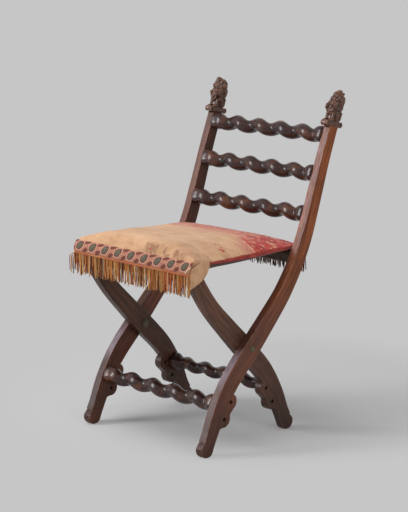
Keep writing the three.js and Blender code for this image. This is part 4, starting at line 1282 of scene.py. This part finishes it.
def make_band():
    """The band, which goes straight up and then round the front, with raised ovals."""
    radius = FRONT_ROUND[2] + GAP
    full, drop = band_length(), FRONT_ROUND[1] - BAND_LOW
    columns, high = 330, 40
    xs = np.linspace(-SEAT_FRONT_WIDTH / 2, SEAT_FRONT_WIDTH / 2, columns)
    vs = np.linspace(0, full, high)
    rings, marks = [], []
    for x in xs:
        ring, mark = [], []
        for face in (1, 0):
            for v in vs if face else vs[::-1]:
                if v < drop:
                    normal, base = (-1.0, 0.0), (-(FRONT_ROUND[0] + radius), BAND_LOW + v)
                else:
                    a = (v - drop) / (FRONT_ROUND[2] + BAND_THICKNESS)
                    normal = (-math.cos(a), math.sin(a))
                    depth, height = on_round((*FRONT_ROUND[:2], radius), a)
                    base = (-depth, height)
                lift = 0.0
                if face:
                    k = round(x / OVAL_PITCH)
                    dx, dv = x - k * OVAL_PITCH, v - full * OVAL_PLACE
                    if abs(k) < 5:
                        r = math.hypot((dx - dv * OVAL_LEAN) / (OVAL_WIDTH / 2), dv / (OVAL_HEIGHT / 2))
                        lift = 1.1 * float(smooth(r, 1.0, 0.72)) + 0.5 * math.exp(-(((r - 1.05) / 0.12) ** 2))
                    edge = min(v, full - v)
                    lift = (BAND_THICKNESS + lift) * (0.35 + 0.65 * float(smooth(edge, 0, 2.0)))
                ring.append((x, base[0] + normal[0] * lift, base[1] + normal[1] * lift))
                mark.append((x, v, face))
        rings.append(ring)
        marks.append(mark)
    rings = np.array(rings)
    wobble = Lumps(21).at(rings.reshape(-1, 3) * [1, 0.2, 0.2], 24).reshape(rings.shape[:2]) * 0.35
    rings[:, :, 1] -= wobble + 0.35
    marks = np.array(marks) * [MM, MM, 1]
    faces = closed_faces(columns, 2 * high)
    return make_mesh("oval_band", rings.reshape(-1, 3), faces, {"band": marks.reshape(-1, 3)})


def band_cloth():
    g = Graph("oval_band_cloth")
    x, v, _ = g.split(g.field("band"))
    p = g.place()
    full, pitch = band_length() * MM, OVAL_PITCH * MM
    wander = g.noise(g.node("CombineXYZ", x, v, 0.0), 90, 2, 0.5)
    xw = g.line(wander, 0.004, g.less(x, 0.002))
    vw = g.line(g.noise(g.node("CombineXYZ", x, v, 0.5), 110, 2, 0.5), 0.004, g.less(v, 0.002))

    def cell(shift):
        moved = g.plus(xw, shift + 20.5 * pitch)
        return g.less(g.math("MODULO", moved, pitch), pitch / 2)

    def oval(dx, centre, wide, high, lean):
        dv = g.less(vw, centre)
        across = g.line(dv, -lean, dx)
        shares = g.math("DIVIDE", across, wide / 2), g.math("DIVIDE", dv, high / 2)
        return g.math("SQRT", g.plus(*[g.math("POWER", share, 2.0) for share in shares]))

    main = oval(cell(0.0), full * OVAL_PLACE, OVAL_WIDTH * MM, OVAL_HEIGHT * MM, OVAL_LEAN)
    upper = oval(cell(pitch * 0.47), full * 0.84, 0.019, 0.0115, 0.9)
    lower = oval(cell(pitch * 0.53), full * 0.2, 0.0155, 0.0125, 0.7)
    worn = g.noise(p, 420, 4, 0.7)
    ground = g.ramp(worn, [(0.35, (146, 88, 72)), (0.5, (182, 122, 100)), (0.66, (208, 158, 128))])
    leaf = g.ramp(worn, [(0.35, (88, 48, 42)), (0.5, (116, 62, 52)), (0.66, (140, 88, 72))])
    g.colour = g.mix(g.step(upper, 1.1, 0.86), ground, leaf)
    g.over(g.step(lower, 1.1, 0.86), leaf)
    g.over(g.step(main, 1.46, 1.34, 0, 0.85), (216, 160, 138))
    g.over(g.step(main, 1.24, 1.1), (94, 52, 46))
    olive = g.ramp(worn, [(0.32, (72, 66, 56)), (0.5, (100, 92, 76)), (0.7, (134, 122, 100))])
    g.over(g.step(main, 0.98, 0.9), olive)
    g.over(g.step(v, full * 0.965, full * 0.99, 0, 0.5), (150, 88, 72))
    # the right end is turned under at a slant, with a pale edge
    slant = g.less(xw, g.line(v, 0.032 / full, 0.184))
    turned = g.mix(g.step(worn, 0.45, 0.6), (178, 132, 88), leaf)
    g.over(g.step(slant, 0.0, 0.0012), turned)
    hem = g.times(g.step(slant, -0.0016, -0.0004), g.step(slant, 0.0026, 0.0014))
    g.over(hem, (226, 196, 168))
    threads = g.math("SINE", g.times(g.plus(x, v), 5200.0))
    normal = g.bump(worn, 0.5, 0.0012, g.bump(threads, 0.25, 0.0004))
    rough = g.step(worn, 0.3, 0.7, 0.95, 0.8)
    return g.finish(rough, normal, Sheen_Weight=0.1, Specular_IOR_Level=0.2)


band = make_band()
dress(band, band_cloth(), "leg_frame", ["front_border"])


# Fringes: two rows of strands, each of two twisted plies, under a corded heading

BRAID_DEPTH, BRAID_HEIGHT, BRAID_PITCH = 1.7, 2.7, 8.5


def strands(name, y, top, length, width, seed, pitch, palette, strays=()):
    """Every strand of one fringe in a mesh, with a colour field for each strand."""
    pick = np.random.default_rng(seed)
    rings, sides, turns, clump = 22, 5, 7.0, 11.3
    tube = [(a, d, c, b) for a, b, c, d in grid_faces(rings, sides, closed_cols=True)]
    tube += [tuple(range(sides)), tuple(range((rings - 1) * sides, rings * sides))[::-1]]
    points, faces, tints, starts = [], [], [], []
    count = int(width / pitch)
    for layer in (0, 1):
        for i in range(count + 1 - layer):
            x = -width / 2 + (i + 0.5 * layer) * pitch + pick.normal(0, 0.25)
            y0 = y + (1.3 if layer else -1.0)
            starts.append((x, y0, length, pick.normal(0, 2.4), pick.normal(0, 0.9), layer))
    for x, drop, aside in strays:
        starts.append((x, y, drop, aside, 0.0, 0))
    s = np.linspace(0, 1, rings)
    for x, y0, drop, aside, out, layer in starts:
        drop = drop + pick.normal(0, 2.6) - (5.0 if pick.random() < 0.14 else 0)
        wave, turn = pick.uniform(0, 6.28), pick.uniform(0, 6.28)
        swing = pick.normal(0, 1.15)
        stray = abs(x) > width / 2 + 1
        gather = 0.0 if stray else (round(x / clump) * clump - x) * 0.42
        leave = smooth(s, 0, 0.3) if stray else s ** 1.5
        cx = x + aside * leave + gather * smooth(s, 0.25, 1.0) + swing * np.sin(s * 5 + wave) * s
        cy = y0 + out * s + 0.4 * np.sin(s * 7 + turn) * s
        cz = top - drop * s
        tint = linear(*palette[pick.choice(len(palette), p=[w for w, _ in palette])][1])[:3]
        # random tone, and painted shade: the back row of strands is painted half as bright
        tone_and_painted_shade = np.clip(pick.normal(1.0, 0.16), 0.6, 1.35) * (0.5 if layer else 1.0)
        for ply in (0, 1):
            spin = turn + s * turns * 2 * math.pi + ply * math.pi
            apart = 0.62 + 0.35 * smooth(s, 0.85, 1.0)
            px, py = cx + apart * np.cos(spin), cy + apart * np.sin(spin)
            radius = 0.82 * (1 - 0.35 * smooth(s, 0.9, 1.0))
            base = len(points)
            for k in range(rings):
                for m in range(sides):
                    a = m / sides * 2 * math.pi
                    points.append((px[k] + radius[k] * math.cos(a), py[k] + radius[k] * math.sin(a), cz[k]))
                    tints.append([c * tone_and_painted_shade for c in tint])
            faces += [tuple(base + k for k in f) for f in tube]
    return make_mesh(name, points, faces, {"tint": np.array(tints)})


def yarn(name):
    g = Graph(name)
    p = g.place()
    tint = g.field("tint")
    fuzz = g.grain(p, (1500, 1500, 500), 2, 0.6)
    fade = g.grain(p, (40, 40, 70), 3, 0.6)
    g.colour = g.mix(g.step(fade, 0.45, 0.7, 0, 0.35), tint, (216, 158, 94))
    g.over(g.step(fuzz, 0.4, 0.7, 0, 0.3), (96, 58, 36))
    rough = g.step(fuzz, 0.3, 0.7, 0.95, 0.8)
    return g.finish(rough, g.bump(fuzz, 0.5, 0.0005), Sheen_Weight=0.1, Specular_IOR_Level=0.25)


def heading(name, y, z, width, plies, tint):
    """Corded braid along the top of a fringe."""
    count, sides = 520, 14
    a = circle(sides)
    rings = []
    for x in np.linspace(-width / 2, width / 2, count):
        r = 1 + 0.2 * np.cos(plies * (a - x / BRAID_PITCH * 2 * math.pi / plies))
        end = float(smooth(width / 2 - abs(x), -0.2, 1.5))
        ring_y, ring_z = y + BRAID_DEPTH * r * end * np.cos(a), z + BRAID_HEIGHT * r * end * np.sin(a)
        rings.append(np.stack([np.full_like(a, x), ring_y, ring_z], 1))
    points = np.concatenate(rings)
    points[:, 2] += Lumps(41).at(points, 30) * 0.6
    faces = [f[::-1] for f in closed_faces(count, sides)]
    tints = np.tile(np.array(linear(*tint)[:3]), (len(points), 1))
    return make_mesh(name, points, faces, {"tint": tints})


yarn_material = yarn("wool_yarn")
ochre = [
    (0.34, (206, 136, 68)), (0.22, (188, 100, 52)), (0.14, (138, 66, 40)),
    (0.18, (222, 170, 104)), (0.08, (80, 42, 30)), (0.04, (228, 198, 160)),
]
front_fringe = strands(
    "yarn_fringe_front", y=-203.2, top=453.0, length=53.0, width=399.0, seed=5, pitch=3.5, palette=ochre,
    strays=[(-202.6, 54, -11), (-202.0, 55, -15), (-203.2, 53, -19), (-201.6, 56, -7)],
)
dress(front_fringe, yarn_material, "leg_frame", ["front_fringe"])
front_heading = heading("braid_front", FLAP_FRONT, HEADING_HEIGHT, width=403.0, plies=3, tint=(188, 106, 66))
dress(front_heading, yarn_material, "leg_frame")
# painted shade: the rear fringe and its braid are given dark colours, as they hang in shade under the seat
dark = [(0.5, (70, 38, 34)), (0.27, (104, 48, 40)), (0.15, (122, 66, 50)), (0.08, (150, 104, 80))]
rear_fringe = strands(
    "yarn_fringe_rear", y=205.8, top=455.0, length=56.0, width=397.0, seed=9, pitch=4.2, palette=dark,
)
dress(rear_fringe, yarn_material, "back_frame", ["rear_fringe"])
rear_heading = heading("braid_rear", 206.0, 455.5, width=399.0, plies=3, tint=(96, 46, 40))
dress(rear_heading, yarn_material, "back_frame")


# Canvas sling under the padding

def make_canvas():
    """The sling, wrapped over both seat rails, with its flat size."""
    half = LEG_INNER - SIDE_CLEARANCE
    turn = np.radians(np.linspace(0, 96, 26))
    lines = []
    for distance in (GAP + 1.6, GAP):
        rear = [on_round((SEAT_RAIL_REACH, ROLL_HEIGHT, ROLL_RADIUS + distance), a) for a in turn]
        line = [(-y, z) for y, z in rear]
        for s in np.linspace(0.06, 0.94, 60):
            sag = CANVAS_SAG * (1 - (2 * s - 1) ** 2)
            line.append(((2 * s - 1) * SEAT_RAIL_REACH, SEAT_RAIL_TOP + distance - sag))
        lines.append(line + rear[::-1])
    loop = lines[0] + lines[1][::-1]
    length = sum(math.dist(a, b) for a, b in zip(lines[1], lines[1][1:]))
    points = [(x, y, z) for x in np.linspace(-half, half, 60) for y, z in loop]
    sling = make_mesh("linen_sling", points, closed_faces(60, len(loop)))
    return sling, (2 * half * MM, length * MM)


def linen():
    g = Graph("linen_webbing")
    p = g.place()
    x, y, _ = g.split(p)
    weave = g.times(*[g.math("SINE", g.times(v, 4200.0)) for v in (x, y)])
    soil = g.noise(p, 14, 5, 0.65)
    g.colour = g.ramp(soil, [(0.35, (70, 56, 46)), (0.5, (104, 86, 68)), (0.65, (128, 108, 84))])
    g.over(g.step(weave, -0.6, 0.8, 0, 0.3), (56, 44, 38))
    rough = g.step(soil, 0.3, 0.7, 0.95, 0.85)
    return g.finish(rough, g.bump(weave, 0.5, 0.0006), Specular_IOR_Level=0.2)


canvas, canvas_cut = make_canvas()
dress(canvas, linen(), None, ["seat_canvas"])
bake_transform(velvet_seat)
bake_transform(canvas)


# Stage, light and camera

BACKDROP = (198, 198, 198)
FLOOR_HALF = 9.0
CHAIR_MIDDLE = (-0.08, 0.3, 0.0)


def make_stage():
    """A pale floor that keeps the shadow near the chair and takes the backdrop's tone further off."""
    corners = [(x * FLOOR_HALF, y * FLOOR_HALF, 0) for x, y in ((-1, -1), (1, -1), (1, 1), (-1, 1))]
    mesh = bpy.data.meshes.new("floor")
    mesh.from_pydata(corners, [], [(0, 1, 2, 3)])
    floor = add_object("floor", mesh)
    g = Graph("pale_floor")
    off = g.node("VectorMath", g.place(), CHAIR_MIDDLE, operation="SUBTRACT")
    length = g.new("VectorMath", off, operation="LENGTH").outputs["Value"]
    seen = g.times(g.new("LightPath").outputs["Is Camera Ray"], g.step(length, 0.4, 0.72, 0.12))
    diffuse = g.node("BsdfDiffuse", (0.62, 0.62, 0.62, 1))
    g.show("Material", g.node("MixShader", seen, diffuse, g.node("Emission", BACKDROP)))
    mesh.materials.append(g.owner)


def make_world():
    """Pale studio light, with the plain backdrop for camera, glossy and transmission rays."""
    world = bpy.data.worlds.new("studio")
    bpy.context.scene.world = world
    g = Graph("studio", world)
    rays = g.new("LightPath").outputs
    seen = g.math("MAXIMUM", rays["Is Camera Ray"], rays["Is Transmission Ray"])
    seen = g.math("MAXIMUM", seen, rays["Is Glossy Ray"])
    light = g.node("Background", (0.95, 0.97, 1.0, 1), 0.36)
    g.show("World", g.node("MixShader", seen, light, g.node("Background", BACKDROP)))


def area_light(name, at, towards, width, height, power, colour, mirrored):
    data = bpy.data.lights.new(name, "AREA")
    data.shape = "RECTANGLE"
    data.size, data.size_y = width, height
    data.energy = power
    data.color = colour
    obj = add_object(name, data)
    obj.location = at
    obj.rotation_euler = (Vector(towards) - Vector(at)).to_track_quat("-Z", "Y").to_euler()
    obj.visible_glossy = mirrored


make_stage()
make_world()
# name, place, aim, width, height, power, colour and whether reflections show it
for light in (
    ("window", (-2.2, -2.6, 1.9), (0, 0, 0.42), 1.0, 2.5, 78, (0.985, 0.975, 1.0), True),
    ("overhead", (-0.6, -0.6, 3.2), (0, 0, 0.4), 2.4, 2.4, 42, (1.0, 1.0, 1.0), False),
    ("fill", (3.0, -0.4, 1.3), (0, 0, 0.4), 1.8, 1.8, 24, (1.0, 0.97, 0.93), False),
):
    area_light(*light)

camera_data = bpy.data.cameras.new("camera")
camera = add_object("camera", camera_data)
camera.location = (3.132, -3.154 + PIVOT.y, 1.374)
camera.rotation_euler = (math.radians(90 - 11.873), 0, math.radians(44.38))
camera_data.sensor_fit = "VERTICAL"
camera_data.sensor_height = 36
camera_data.lens = 128.83
bpy.context.scene.camera = camera
bpy.context.scene.view_settings.view_transform = "Standard"
